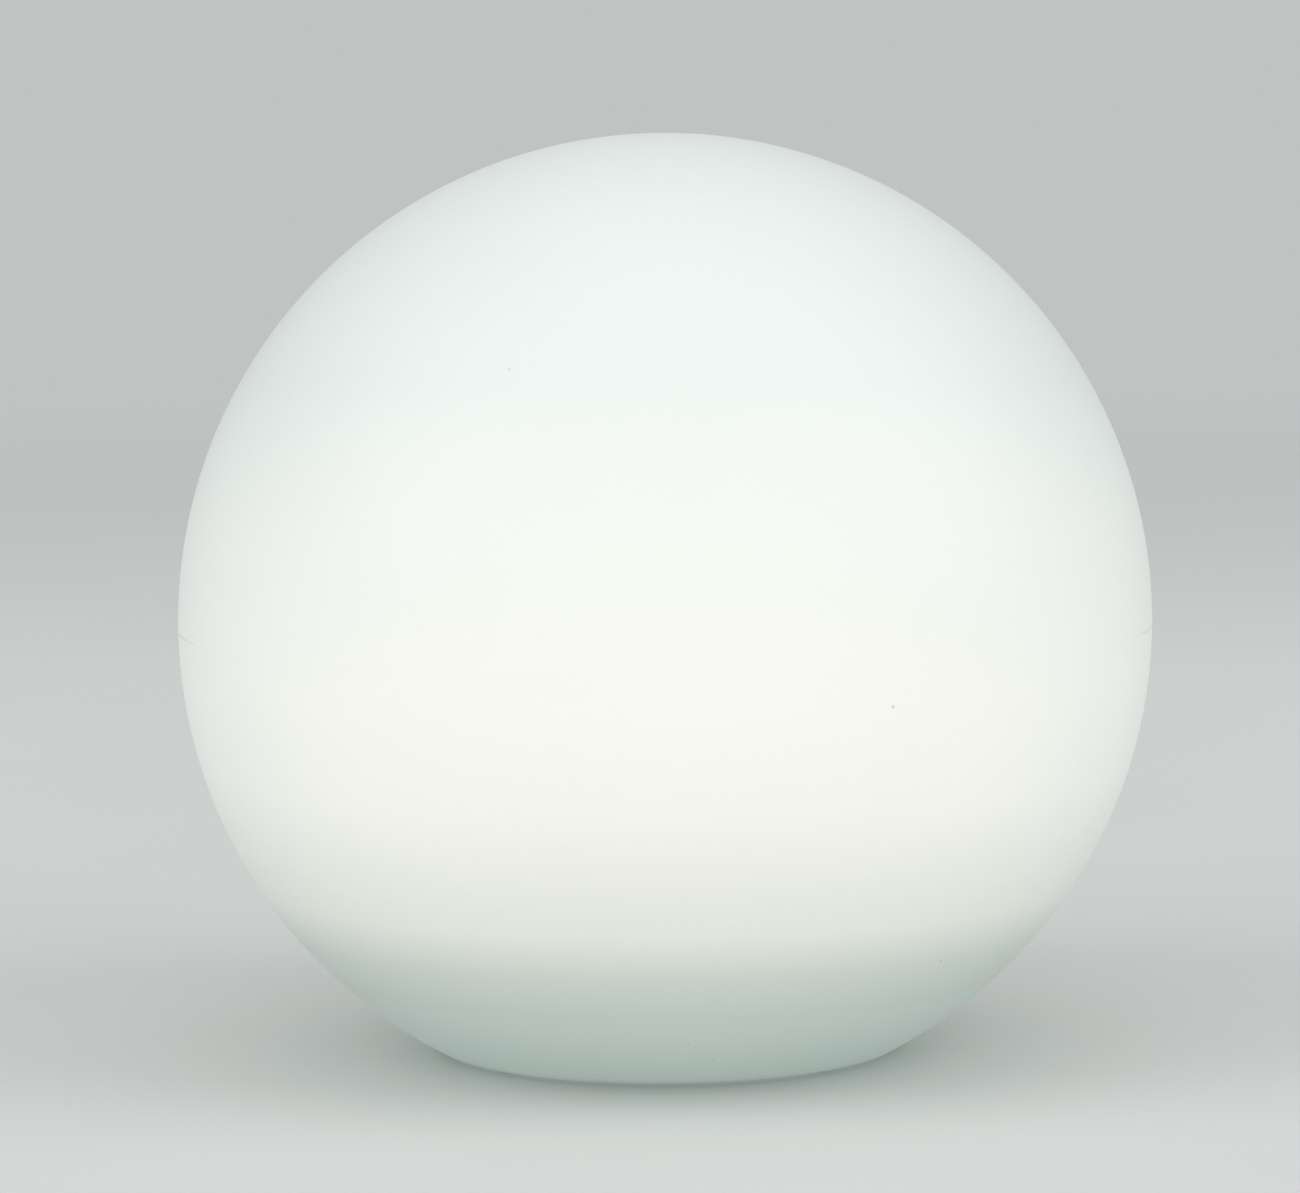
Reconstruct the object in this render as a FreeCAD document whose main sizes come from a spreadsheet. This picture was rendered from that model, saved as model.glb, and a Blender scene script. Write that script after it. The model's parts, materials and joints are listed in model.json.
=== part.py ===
import FreeCAD, Part
import math
import os
import Sketcher

# Garden globe light: a one-piece moulded globe with a flat foot, and a screwed-in sealed base module
# that holds the battery, the charging socket, the push button and a disc of LEDs under a clear dome.
# Millimetres. +Z is up, the floor is z = 0 and the globe's axis is the Z axis.

os.makedirs("parts", exist_ok=True)
Vector = FreeCAD.Vector
UP = Vector(0, 0, 1)
H_AXIS, V_AXIS = range(-1, -3, -1)
START, END, CENTRE = range(1, 4)

SIZES = {
    # moulded globe
    "globe_dia": 400,
    "shell_wall": 3.6,
    "foot_land": 16.6,
    "foot_round": 6,
    "lip_round": 1.5,
    "recess_depth": 13.2,
    "recess_play": 2,
    "seam_drop": 1.6,
    "seam_proud": 0.25,
    "seam_width": 0.5,
    "boss_dia": 12,
    "boss_height": 8,
    "screw_tip_room": 1.6,
    # feet
    "foot_pad_dia": 12,
    "foot_pad_thick": 2,
    "foot_pad_proud": 0.8,
    "foot_pad_count": 4,
    "foot_pad_bevel": 0.4,
    # base plate and what seals and holds it
    "plate_thick": 4,
    "plate_bevel": 0.8,
    "flange_width": 17,
    "spigot_wall": 3,
    "spigot_height": 7.5,
    "spigot_play": 1,
    "gasket_thick": 1.5,
    "gasket_inset": 1,
    "insert_dia": 6.4,
    "insert_length": 8,
    "insert_groove": 0.3,
    "flange_screw_count": 6,
    "flange_screw_dia": 4,
    "flange_screw_length": 10,
    "flange_head_dia": 8,
    "flange_head_height": 2.4,
    "flange_head_sink": 2.6,
    "thread_play": 0.05,
    "hole_play": 0.2,
    "head_play": 0.5,
    # battery housing
    "housing_dia": 104,
    "housing_wall": 2.5,
    "housing_round": 1.2,
    "groove_depth": 2,
    "groove_play": 0.3,
    "housing_seal_thick": 1,
    "housing_screw_count": 4,
    "housing_screw_dia": 3,
    "housing_screw_length": 12,
    "housing_boss_dia": 8,
    "housing_boss_height": 17.5,
    "small_head_dia": 5.5,
    "small_head_height": 2,
    "drive_slot": 0.9,
    "drive_depth": 1.2,
    # control board
    "board_length": 80,
    "board_width": 50,
    "board_thick": 1.6,
    "board_gap": 2,
    "standoff_height": 15.5,
    "standoff_dia": 6,
    "standoff_inset_x": 10,
    "standoff_inset_y": 5,
    "stack_screw_dia": 2.5,
    "stack_screw_length": 16,
    "stack_head_dia": 4.5,
    "stack_head_height": 1.8,
    # battery pack
    "cell_dia": 18.4,
    "cell_length": 65.2,
    "cell_count": 3,
    "cell_gap": 0.6,
    "cell_cap_dia": 7,
    "cell_cap_rise": 0.9,
    "cell_bevel": 0.5,
    "cradle_leg": 3.9,
    "cradle_seat": 0.8,
    "cradle_floor": 3.3,
    "cradle_rise": 8.5,
    "cradle_wall": 1.2,
    "cradle_play": 0.1,
    "strip_thick": 0.2,
    "strip_width": 6,
    "pad_thick": 4.3,
    "pad_inset": 4,
    # push button
    "button_x": 20,
    "underside_y": -8,
    "button_dia": 13.8,
    "button_gap": 0.3,
    "button_proud": 1.5,
    "button_travel": 1.5,
    "button_head": 4,
    "button_stem_dia": 6,
    "button_round": 0.6,
    "clip_thick": 0.8,
    "clip_depth": 0.6,
    "clip_width": 2,
    "boot_hub": 2.4,
    "boot_roll": 5.1,
    "boot_roll_gap": 1.3,
    "boot_skin": 0.8,
    "boot_flange_dia": 21,
    "boot_flange_thick": 1.5,
    "boot_ring_height": 2.5,
    "boot_ring_width": 2.1,
    "boot_wall": 1.8,
    "switch_side": 12,
    "switch_height": 4,
    "plunger_dia": 6.8,
    "plunger_reach": 5,
    "plunger_play": 0.06,
    # charging socket
    "socket_x": -20,
    "socket_side": 11.2,
    "socket_bore": 6.2,
    "socket_depth": 9.5,
    "socket_pin_dia": 2,
    "socket_pin_length": 9,
    "socket_pin_head": 4,
    "socket_pin_head_thick": 1.5,
    "socket_hole": 10,
    "socket_seal_thick": 1,
    "socket_seal_width": 2,
    "cover_dia": 16,
    "cover_thick": 2.2,
    "cover_gap": 0.3,
    "cover_play": 0.2,
    "cover_taper": 0.4,
    "cover_stub": 3.8,
    "cover_bevel": 0.6,
    "cover_tab": 3,
    "hinge_reach": 14,
    "strap_length": 7.8,
    "strap_width": 6,
    "strap_thick": 1.2,
    "anchor_dia": 8,
    "anchor_peg_dia": 4,
    "anchor_barb": 0.6,
    "anchor_thick": 1.9,
    "light_pipe_dia": 3,
    "light_pipe_flange": 1.1,
    "light_pipe_flange_thick": 1,
    "indicator_side": 3,
    "indicator_height": 1,
    "indicator_gap": 0.2,
    # wires and plugs
    "wire_dia": 1.6,
    "wire_pitch": 2.5,
    "lead_y": 8,
    "lead_run": 4,
    "lead_inset": 7,
    "lead_straight": 5,
    "plug_length": 6,
    "plug_width": 5.6,
    "plug_height": 2.2,
    "plug_inset": 2,
    "plug_play": 0.1,
    "header_wall": 0.6,
    "header_reach": 5,
    # LED disc
    "thermal_thick": 0.5,
    "led_board_thick": 1.6,
    "led_board_gap": 1,
    "led_screw_inset": 6,
    "led_screw_count": 3,
    "led_screw_length": 8,
    "led_boss_dia": 7,
    "led_boss_height": 5.5,
    "led_side": 5,
    "led_height": 1.6,
    "led_eye_dia": 4,
    "led_eye_depth": 0.3,
    "led_outer_count": 12,
    "led_outer_ring": 64,
    "led_inner_count": 6,
    "led_inner_ring": 32,
    # clear dome
    "dome_wall": 2,
    "dome_rise": 20,
    "dome_flange_width": 4.5,
    "dome_flange_thick": 2,
    "dome_seal_thick": 1,
    "ring_wall": 3.5,
    "ring_lip": 2,
    "ring_skirt": 8,
    "ring_play": 0.05,
    "ring_rib_count": 12,
    "ring_rib_width": 4,
    "ring_rib_proud": 0.4,
    # parts on the control board
    "chip_side": 5,
    "chip_height": 1.6,
    "coil_side": 7,
    "coil_height": 3,
    "can_dia": 5,
    "can_height": 3.2,
    "part_spacing": 11,
}

doc = FreeCAD.newDocument("GardenGlobe")
sheet = doc.addObject("Spreadsheet::Sheet", "Sizes")
for row, (alias, amount) in enumerate(SIZES.items(), start=1):
    sheet.set(f"A{row}", alias)
    sheet.set(f"B{row}", str(amount))
    sheet.setAlias(f"B{row}", alias)
doc.recompute()
layout = doc.addObject("App::VarSet", "Layout")
nodes = {}


# ---- sizes that carry the expression which ties them to the sheet

def value(size):
    return size.value if isinstance(size, Size) else float(size)


def text(size):
    return size.text if isinstance(size, Size) else f"({float(size)})"


class Size:
    def __init__(self, amount, words):
        self.value = amount
        self.text = words

    def __add__(self, other):
        return Size(self.value + value(other), f"({self.text} + {text(other)})")

    def __radd__(self, other):
        return Size(value(other) + self.value, f"({text(other)} + {self.text})")

    def __sub__(self, other):
        return Size(self.value - value(other), f"({self.text} - {text(other)})")

    def __rsub__(self, other):
        return Size(value(other) - self.value, f"({text(other)} - {self.text})")

    def __mul__(self, other):
        return Size(self.value * value(other), f"({self.text} * {text(other)})")

    def __rmul__(self, other):
        return Size(value(other) * self.value, f"({text(other)} * {self.text})")

    def __truediv__(self, other):
        return Size(self.value / value(other), f"({self.text} / {text(other)})")

    def __neg__(self):
        return Size(-self.value, f"(0 - {self.text})")


def root(size):
    return Size(math.sqrt(size.value), f"sqrt({size.text})")


class Free(float):
    """A coordinate that the sketch works out; the number only says where it starts."""


class Sheet:
    def __getattr__(self, alias):
        return Size(float(getattr(sheet, alias)), "Sizes." + alias)


class Layout:
    # lengths worked out from the sheet once, and kept by name in the document's variable set
    def __setattr__(self, name, size):
        layout.addProperty("App::PropertyFloat", name, "Layout", "")
        layout.setExpression(name, size.text)
        self.__dict__[name] = Size(size.value, "Layout." + name)


s = Sheet()
at = Layout()


# ---- sketches and features

def bind(thing, path, size):
    if isinstance(size, Size):
        thing.setExpression(path, size.text)
    else:
        setattr(thing, path, size)


def make_body(name):
    return doc.addObject("PartDesign::Body", name)


def make_sketch(body, name, role="XY_Plane", level=None):
    plane = next(face for face in body.Origin.OriginFeatures if face.Role == role)
    sketch = body.newObject("Sketcher::SketchObject", name)
    sketch.AttachmentSupport = [(plane, "")]
    sketch.MapMode = "FlatFace"
    if isinstance(level, Size):
        sketch.setExpression("AttachmentOffset.Base.z", level.text)
    return sketch


def measure(sketch, kind, size, *where):
    index = sketch.addConstraint(Sketcher.Constraint(kind, *where, value(size)))
    if isinstance(size, Size):
        sketch.setExpression(f"Constraints[{index}]", size.text)


def pin(sketch, edge, point, x, y):
    for kind, axis, place in (("DistanceX", V_AXIS, x), ("DistanceY", H_AXIS, y)):
        if isinstance(place, Free):
            continue
        if isinstance(place, Size):
            measure(sketch, kind, place, edge, point)
        else:
            sketch.addConstraint(Sketcher.Constraint("PointOnObject", edge, point, axis))


def flat_point(x, y):
    return Vector(value(x), value(y), 0)


def outline(sketch, points, arcs=None):
    # closed outline through the points; arcs gives an edge's centre, radius and sense by its first point
    ends = []
    for index, start in enumerate(points):
        first = flat_point(*start)
        last = flat_point(*points[(index + 1) % len(points)])
        if arcs and index in arcs:
            x, y, radius, anticlockwise = arcs[index]
            centre = flat_point(x, y)
            low, high = (first, last) if anticlockwise else (last, first)
            begin = math.atan2(low.y - centre.y, low.x - centre.x)
            finish = math.atan2(high.y - centre.y, high.x - centre.x)
            if finish < begin:
                finish += 2 * math.pi
            circle = Part.Circle(centre, UP, value(radius))
            edge = sketch.addGeometry(Part.ArcOfCircle(circle, begin, finish))
            pin(sketch, edge, CENTRE, x, y)
            measure(sketch, "Radius", radius, edge)
            ends.append((edge, START, END) if anticlockwise else (edge, END, START))
        else:
            edge = sketch.addGeometry(Part.LineSegment(first, last))
            ends.append((edge, START, END))
    for index, (edge, _, tail) in enumerate(ends):
        next_edge, next_head, _ = ends[(index + 1) % len(ends)]
        sketch.addConstraint(Sketcher.Constraint("Coincident", edge, tail, next_edge, next_head))
    for (edge, head, _), point in zip(ends, points):
        pin(sketch, edge, head, *point)


def disc(x, y, radius):
    def draw(sketch):
        edge = sketch.addGeometry(Part.Circle(flat_point(x, y), UP, value(radius)))
        pin(sketch, edge, CENTRE, x, y)
        measure(sketch, "Radius", radius, edge)
    return draw


def block(x, y, length, width):
    def draw(sketch):
        left, right = x - length / 2, x + length / 2
        near, far = y - width / 2, y + width / 2
        outline(sketch, [(left, near), (right, near), (right, far), (left, far)])
    return draw


def spin(body, name, points, arcs=None, kind="Revolution"):
    sketch = make_sketch(body, name + "_outline", "XZ_Plane")
    outline(sketch, points, arcs)
    feature = body.newObject("PartDesign::" + kind, name)
    feature.Profile = sketch
    feature.ReferenceAxis = (sketch, ["V_Axis"])
    feature.Angle = 360
    return feature


def rise(body, name, low, high, *shapes):
    sketch = make_sketch(body, name + "_outline", level=low)
    for draw in shapes:
        draw(sketch)
    feature = body.newObject("PartDesign::Pad", name)
    feature.Profile = sketch
    bind(feature, "Length", high - low)
    return feature


def sink(body, name, low, high, *shapes):
    sketch = make_sketch(body, name + "_outline", level=low)
    for draw in shapes:
        draw(sketch)
    feature = body.newObject("PartDesign::Pocket", name)
    feature.Profile = sketch
    feature.Reversed = True
    bind(feature, "Length", high - low)
    return feature


def round_about(body, name, count, *features):
    pattern = body.newObject("PartDesign::PolarPattern", name)
    pattern.Originals = list(features)
    pattern.Axis = (features[0].Profile[0], ["N_Axis"])
    pattern.Angle = 360
    bind(pattern, "Occurrences", count)
    body.Tip = pattern
    return pattern


def soften(body, name, kind, size, *rings):
    # fillet or chamfer on the circular edges given by radius and height
    doc.recompute()
    base = body.Tip
    chosen = []
    for index, edge in enumerate(base.Shape.Edges, start=1):
        if edge.Degenerated or not isinstance(edge.Curve, Part.Circle):
            continue
        for radius, level in rings:
            same_radius = abs(edge.Curve.Radius - value(radius)) < 0.01
            if same_radius and abs(edge.Curve.Center.z - value(level)) < 0.01:
                chosen.append(f"Edge{index}")
    feature = body.newObject("PartDesign::" + kind, name)
    feature.Base = (base, chosen)
    bind(feature, "Radius" if kind == "Fillet" else "Size", size)


def place(thing, x, y, z, turn=None):
    if turn:
        thing.Placement = FreeCAD.Placement(Vector(0, 0, 0), turn)
    for axis, size in zip("xyz", (x, y, z)):
        if isinstance(size, Size):
            thing.setExpression("Placement.Base." + axis, size.text)


def keep(label, thing):
    thing.Label = label
    nodes[label] = thing
    return thing


def copies(label, master, spots, turn=None):
    # a group of separate, identical solids at the given places
    links = []
    for index, spot in enumerate(spots, start=1):
        link = doc.addObject("App::Link", f"{label}_{index}")
        link.LinkedObject = master
        place(link, *spot, turn)
        links.append(link)
    group = doc.addObject("Part::Compound", label)
    group.Links = links
    return keep(label, group)


def circle_spots(radius, count, first_angle, level):
    spots = []
    for index in range(int(count.value)):
        angle = first_angle + index * 360 / count.value
        across = math.cos(math.radians(angle))
        along = math.sin(math.radians(angle))
        spots.append((radius * across, radius * along, level))
    return spots


def make_screw(name, shank_dia, length, head_dia, head_height):
    # pan head below z = 0 with a cross drive, shank pointing up
    body = make_body(name)
    nose = shank_dia / 5
    spin(body, "turned", [
        (0, -head_height),
        (head_dia / 2 - head_height / 3, -head_height),
        (head_dia / 2, -head_height * 0.6),
        (head_dia / 2, 0),
        (shank_dia / 2, 0),
        (shank_dia / 2, length - nose),
        (shank_dia / 2 - nose, length),
        (0, length),
    ])
    reach = head_dia * 0.55
    drive_top = s.drive_depth - head_height
    sink(body, "drive_across", -head_height, drive_top, block(0, 0, reach, s.drive_slot))
    sink(body, "drive_along", -head_height, drive_top, block(0, 0, s.drive_slot, reach))
    return body


# ---- levels and radii shared by the parts, worked out upwards from the floor and outwards from the module

def lay_out():
    at.foot_z = s.foot_pad_proud
    at.roof_z = at.foot_z + s.recess_depth
    at.plate_top = at.roof_z - s.gasket_thick
    at.plate_bottom = at.plate_top - s.plate_thick
    at.board_bottom = at.plate_top + s.standoff_height
    at.board_top = at.board_bottom + s.board_thick
    at.cradle_bottom = at.board_top + s.cradle_leg
    at.stack_seat = at.cradle_bottom + s.cradle_seat
    at.cradle_top = at.cradle_bottom + s.cradle_rise
    at.cell_z = at.cradle_bottom + s.cradle_floor + s.cell_dia / 2
    at.cell_top = at.cell_z + s.cell_dia / 2
    at.deck_bottom = at.cell_top + s.pad_thick
    at.deck_top = at.deck_bottom + s.housing_wall
    at.led_board_bottom = at.deck_top + s.thermal_thick
    at.led_board_top = at.led_board_bottom + s.led_board_thick
    at.dome_flange_bottom = at.deck_top + s.dome_seal_thick
    at.dome_flange_top = at.dome_flange_bottom + s.dome_flange_thick

    at.housing_outer = s.housing_dia / 2
    at.housing_inner = at.housing_outer - s.housing_wall
    at.housing_screw_r = at.housing_inner - s.housing_boss_dia / 2 + 1
    at.ring_inner = at.housing_outer + s.ring_play
    at.ring_outer = at.ring_inner + s.ring_wall
    at.spigot_inner = at.ring_outer + s.ring_rib_proud + 0.05
    at.spigot_outer = at.spigot_inner + s.spigot_wall
    at.opening_r = at.spigot_outer + s.spigot_play
    at.plate_r = at.spigot_outer + s.flange_width
    at.flange_screw_r = at.plate_r - s.flange_width / 2 + 1.5
    at.recess_r = at.plate_r + s.recess_play
    at.foot_r = at.recess_r + s.foot_land
    at.foot_pad_r = at.recess_r + s.foot_land / 2 - 0.3

    at.globe_r = s.globe_dia / 2
    at.globe_z = at.foot_z + root(at.globe_r * at.globe_r - at.foot_r * at.foot_r)
    at.seam_z = at.globe_z - s.seam_drop

    at.dome_r = (at.housing_outer - s.dome_wall)
    at.dome_ball_r = (at.dome_r * at.dome_r + s.dome_rise * s.dome_rise) / (2 * s.dome_rise)
    at.dome_ball_z = at.dome_flange_top + s.dome_rise - at.dome_ball_r
    at.dome_flange_inner = at.housing_outer - s.dome_flange_width - 0.5
    at.led_board_r = at.dome_flange_inner - s.led_board_gap
    at.led_screw_r = at.led_board_r - s.led_screw_inset

    at.half_board = s.board_length / 2
    at.standoff_x = at.half_board - s.standoff_inset_x
    at.standoff_y = s.board_width / 2 - s.standoff_inset_y
    at.cell_pitch = s.cell_dia + s.cell_gap
    at.half_pack = s.cell_length / 2 + s.cradle_play
    at.half_cradle = at.half_pack + s.strip_thick + s.cradle_wall
    at.plug_end = at.half_board - s.plug_inset
    at.lead_x = at.plug_end + s.lead_run
    at.lead_hole_x = at.led_board_r - s.lead_inset
    at.header_end = at.plug_end - 1
    at.wire_z = at.board_top + s.header_wall + s.plug_height / 2 + s.plug_play

    at.button_bottom = at.plate_bottom - s.button_proud
    at.button_top = at.button_bottom + s.button_head
    at.clip_bottom = at.button_top + s.boot_hub
    at.clip_top = at.clip_bottom + s.clip_thick
    at.switch_face = at.board_bottom - s.switch_height
    at.plunger_tip = at.switch_face - s.plunger_reach
    at.button_hole_r = s.button_dia / 2 + s.button_gap
    at.boot_wall_inner = s.boot_flange_dia / 2 + 0.1
    at.boot_wall_top = at.plate_top + s.boot_flange_thick + s.boot_ring_height + 0.5

    at.socket_face = at.plate_top + s.socket_seal_thick
    at.socket_back = at.socket_face + s.socket_depth
    at.cover_top = at.plate_bottom - s.cover_gap
    at.cover_bottom = at.cover_top - s.cover_thick
    at.hinge_y = s.underside_y + s.hinge_reach
    at.strap_near = at.hinge_y - s.strap_length / 2
    at.strap_far = at.hinge_y + s.strap_length / 2
    at.anchor_y = at.strap_far + s.anchor_dia / 2


# ---- the moulded globe and its feet

def globe_shell():
    body = make_body("globe_shell")
    wall = s.shell_wall
    inner_r = at.globe_r - wall
    floor_top = at.foot_z + wall
    roof_top = at.roof_z + wall
    channel_r = at.recess_r + wall
    inner_foot = math.sqrt(inner_r.value ** 2 - (at.globe_z.value - floor_top.value) ** 2)
    spin(body, "moulding", [
        (0, Free((at.globe_z + at.globe_r).value)),
        (Free(at.foot_r.value), at.foot_z),
        (at.recess_r, at.foot_z),
        (at.recess_r, at.roof_z),
        (at.opening_r, at.roof_z),
        (at.opening_r, roof_top),
        (channel_r, roof_top),
        (channel_r, floor_top),
        (Free(inner_foot), floor_top),
        (0, Free((at.globe_z + inner_r).value)),
    ], {0: (0, at.globe_z, at.globe_r, False), 8: (0, at.globe_z, inner_r, True)})
    soften(body, "foot_edge", "Fillet", s.foot_round, (at.foot_r, at.foot_z))
    soften(body, "recess_lip", "Fillet", s.lip_round, (at.recess_r, at.foot_z), (channel_r, roof_top))
    seam_out = at.globe_r + s.seam_proud
    seam_root = at.globe_r - wall / 3
    spin(body, "parting_line", [
        (seam_root, at.seam_z - s.seam_width * 2),
        (seam_out, at.seam_z - s.seam_width / 2),
        (seam_out, at.seam_z + s.seam_width / 2),
        (seam_root, at.seam_z + s.seam_width * 2),
    ])
    boss = rise(body, "boss", roof_top - 1, roof_top + s.boss_height,
                disc(at.flange_screw_r, 0, s.boss_dia / 2))
    round_about(body, "bosses", s.flange_screw_count, boss)
    seat_top = at.roof_z + s.insert_length
    seat = sink(body, "insert_seat", at.roof_z, seat_top, disc(at.flange_screw_r, 0, s.insert_dia / 2))
    tip_top = seat_top + s.screw_tip_room
    tip_r = s.flange_screw_dia / 2 + s.hole_play
    tip = sink(body, "screw_tip_room", seat_top - 1, tip_top, disc(at.flange_screw_r, 0, tip_r))
    round_about(body, "insert_seats", s.flange_screw_count, seat, tip)
    pocket_top = at.foot_z - s.foot_pad_proud + s.foot_pad_thick
    spots = circle_spots(at.foot_pad_r, s.foot_pad_count, 45, 0)
    discs = [disc(x, y, s.foot_pad_dia / 2) for x, y, _ in spots]
    sink(body, "foot_pad_pockets", at.foot_z - 0.2, pocket_top, *discs)
    keep("globe_shell", body)


def foot_pads():
    body = make_body("foot_pad")
    radius = s.foot_pad_dia / 2
    spin(body, "pad", [
        (0, 0),
        (radius - s.foot_pad_bevel, 0),
        (radius, s.foot_pad_bevel),
        (radius, s.foot_pad_thick),
        (0, s.foot_pad_thick),
    ])
    copies("foot_pads", body, circle_spots(at.foot_pad_r, s.foot_pad_count, 45, 0))


# ---- the base plate and its fastening to the globe

def threaded_inserts():
    body = make_body("threaded_insert")
    bore = s.flange_screw_dia / 2 + s.thread_play
    outer = s.insert_dia / 2
    waist = outer - s.insert_groove
    third = s.insert_length / 3
    spin(body, "turned", [
        (bore, 0),
        (outer, 0),
        (outer, third),
        (waist, third + s.insert_groove),
        (waist, third * 2 - s.insert_groove),
        (outer, third * 2),
        (outer, s.insert_length),
        (bore, s.insert_length),
    ])
    copies("threaded_inserts", body, circle_spots(at.flange_screw_r, s.flange_screw_count, 0, at.roof_z))


def flange_gasket():
    body = make_body("flange_gasket")
    inner = at.opening_r + s.gasket_inset
    rise(body, "ring", at.plate_top, at.roof_z, disc(0, 0, at.plate_r), disc(0, 0, inner))
    hole_r = s.flange_screw_dia / 2 + s.head_play
    hole = sink(body, "screw_hole", at.plate_top, at.roof_z, disc(at.flange_screw_r, 0, hole_r))
    round_about(body, "screw_holes", s.flange_screw_count, hole)
    keep("flange_gasket", body)


def base_plate():
    body = make_body("base_plate")
    low, top = at.plate_bottom, at.plate_top
    groove_in = at.housing_inner - s.groove_play
    groove_out = at.housing_outer + s.groove_play
    spigot_top = top + s.spigot_height
    spin(body, "moulding", [
        (0, low),
        (at.plate_r - s.plate_bevel, low),
        (at.plate_r, low + s.plate_bevel),
        (at.plate_r, top),
        (at.spigot_outer, top),
        (at.spigot_outer, spigot_top),
        (at.spigot_inner, spigot_top),
        (at.spigot_inner, top),
        (groove_out, top),
        (groove_out, top - s.groove_depth),
        (groove_in, top - s.groove_depth),
        (groove_in, top),
        (0, top),
    ])
    corners = standoff_spots()
    posts = [disc(x, y, s.standoff_dia / 2) for x, y in corners]
    rise(body, "standoffs", top - 1, at.board_bottom, *posts)
    pilot_r = s.stack_screw_dia / 2 + s.thread_play
    pilots = [disc(x, y, pilot_r) for x, y in corners]
    pilot_low = at.stack_seat - s.stack_screw_length - 1
    sink(body, "standoff_pilots", pilot_low, at.board_bottom, *pilots)
    rise(body, "boot_wall", top - 1, at.boot_wall_top,
         disc(s.button_x, s.underside_y, at.boot_wall_inner + s.boot_wall))
    sink(body, "boot_room", top, at.boot_wall_top, disc(s.button_x, s.underside_y, at.boot_wall_inner))
    sink(body, "button_hole", low, top, disc(s.button_x, s.underside_y, at.button_hole_r))
    sink(body, "socket_hole", low, top, disc(s.socket_x, s.underside_y, s.socket_hole / 2))
    pipe_r = s.light_pipe_dia / 2 + s.thread_play
    sink(body, "light_pipe_hole", low, top, disc(0, s.underside_y, pipe_r))
    sink(body, "anchor_hole", low, top, disc(s.socket_x, at.anchor_y, s.anchor_peg_dia / 2))
    hole = sink(body, "flange_hole", low, top,
                disc(at.flange_screw_r, 0, s.flange_screw_dia / 2 + s.hole_play))
    head_r = s.flange_head_dia / 2 + s.head_play
    sunk = sink(body, "flange_head_seat", low, low + s.flange_head_sink, disc(at.flange_screw_r, 0, head_r))
    round_about(body, "flange_holes", s.flange_screw_count, hole, sunk)
    hole = sink(body, "housing_hole", low, top,
                disc(at.housing_screw_r, 0, s.housing_screw_dia / 2 + s.hole_play / 2))
    head_r = s.small_head_dia / 2 + s.head_play
    sunk = sink(body, "housing_head_seat", low, low + s.small_head_height,
                disc(at.housing_screw_r, 0, head_r))
    round_about(body, "housing_holes", s.housing_screw_count, hole, sunk)
    keep("base_plate", body)


def flange_screws():
    screw = make_screw("flange_screw", s.flange_screw_dia, s.flange_screw_length,
                       s.flange_head_dia, s.flange_head_height)
    seat = at.plate_bottom + s.flange_head_sink
    copies("flange_screws", screw, circle_spots(at.flange_screw_r, s.flange_screw_count, 0, seat))


# ---- the battery housing

def battery_housing():
    body = make_body("battery_housing")
    rim = at.plate_top - s.groove_depth + s.housing_seal_thick
    spin(body, "cup", [
        (at.housing_inner, rim),
        (at.housing_outer, rim),
        (at.housing_outer, at.deck_top),
        (0, at.deck_top),
        (0, at.deck_bottom),
        (at.housing_inner, at.deck_bottom),
    ])
    soften(body, "deck_edge", "Fillet", s.housing_round, (at.housing_inner, at.deck_bottom))
    boss = rise(body, "screw_boss", at.plate_top, at.plate_top + s.housing_boss_height,
                disc(at.housing_screw_r, 0, s.housing_boss_dia / 2))
    round_about(body, "screw_bosses", s.housing_screw_count, boss)
    pilot_r = s.housing_screw_dia / 2 + s.thread_play
    pilot_top = at.plate_bottom + s.small_head_height + s.housing_screw_length + 1
    pilot = sink(body, "screw_pilot", at.plate_top, pilot_top, disc(at.housing_screw_r, 0, pilot_r))
    round_about(body, "screw_pilots", s.housing_screw_count, pilot)
    spots = led_screw_spots(0)
    bosses = [disc(x, y, s.led_boss_dia / 2) for x, y, _ in spots]
    rise(body, "led_bosses", at.deck_bottom - s.led_boss_height, at.deck_bottom + 1, *bosses)
    pilots = [disc(x, y, pilot_r) for x, y, _ in spots]
    sink(body, "led_pilots", at.led_board_top - s.led_screw_length - 0.5, at.deck_top, *pilots)
    sink(body, "lead_holes", at.deck_bottom, at.deck_top, *lead_holes())
    keep("battery_housing", body)


def housing_seal():
    body = make_body("housing_seal")
    floor = at.plate_top - s.groove_depth
    rise(body, "ring", floor, floor + s.housing_seal_thick,
         disc(0, 0, at.housing_outer), disc(0, 0, at.housing_inner))
    keep("housing_seal", body)


def housing_screws():
    screw = make_screw("housing_screw", s.housing_screw_dia, s.housing_screw_length,
                       s.small_head_dia, s.small_head_height)
    seat = at.plate_bottom + s.small_head_height
    copies("housing_screws", screw, circle_spots(at.housing_screw_r, s.housing_screw_count, 0, seat))


# ---- the control board and what is soldered to it

def standoff_spots():
    return [(at.standoff_x * side, at.standoff_y * end) for side in (-1, 1) for end in (-1, 1)]


def control_board():
    # the rectangle's corners are clipped where they would come too near the housing
    body = make_body("control_board")
    reach = at.housing_inner - s.board_gap
    rise(body, "blank", at.board_bottom, at.board_top, disc(0, 0, reach))
    sink(body, "sides", at.board_bottom, at.board_top,
         disc(0, 0, reach * 2), block(0, 0, s.board_length, s.board_width))
    hole_r = s.stack_screw_dia / 2 + s.hole_play
    holes = [disc(x, y, hole_r) for x, y in standoff_spots()]
    sink(body, "screw_holes", at.board_bottom, at.board_top, *holes)
    keep("control_board", body)


def make_box(name, x, y, low, length, width, height):
    box = doc.addObject("Part::Box", name)
    bind(box, "Length", length)
    bind(box, "Width", width)
    bind(box, "Height", height)
    place(box, x - length / 2, y - width / 2, low)
    return box


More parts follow.
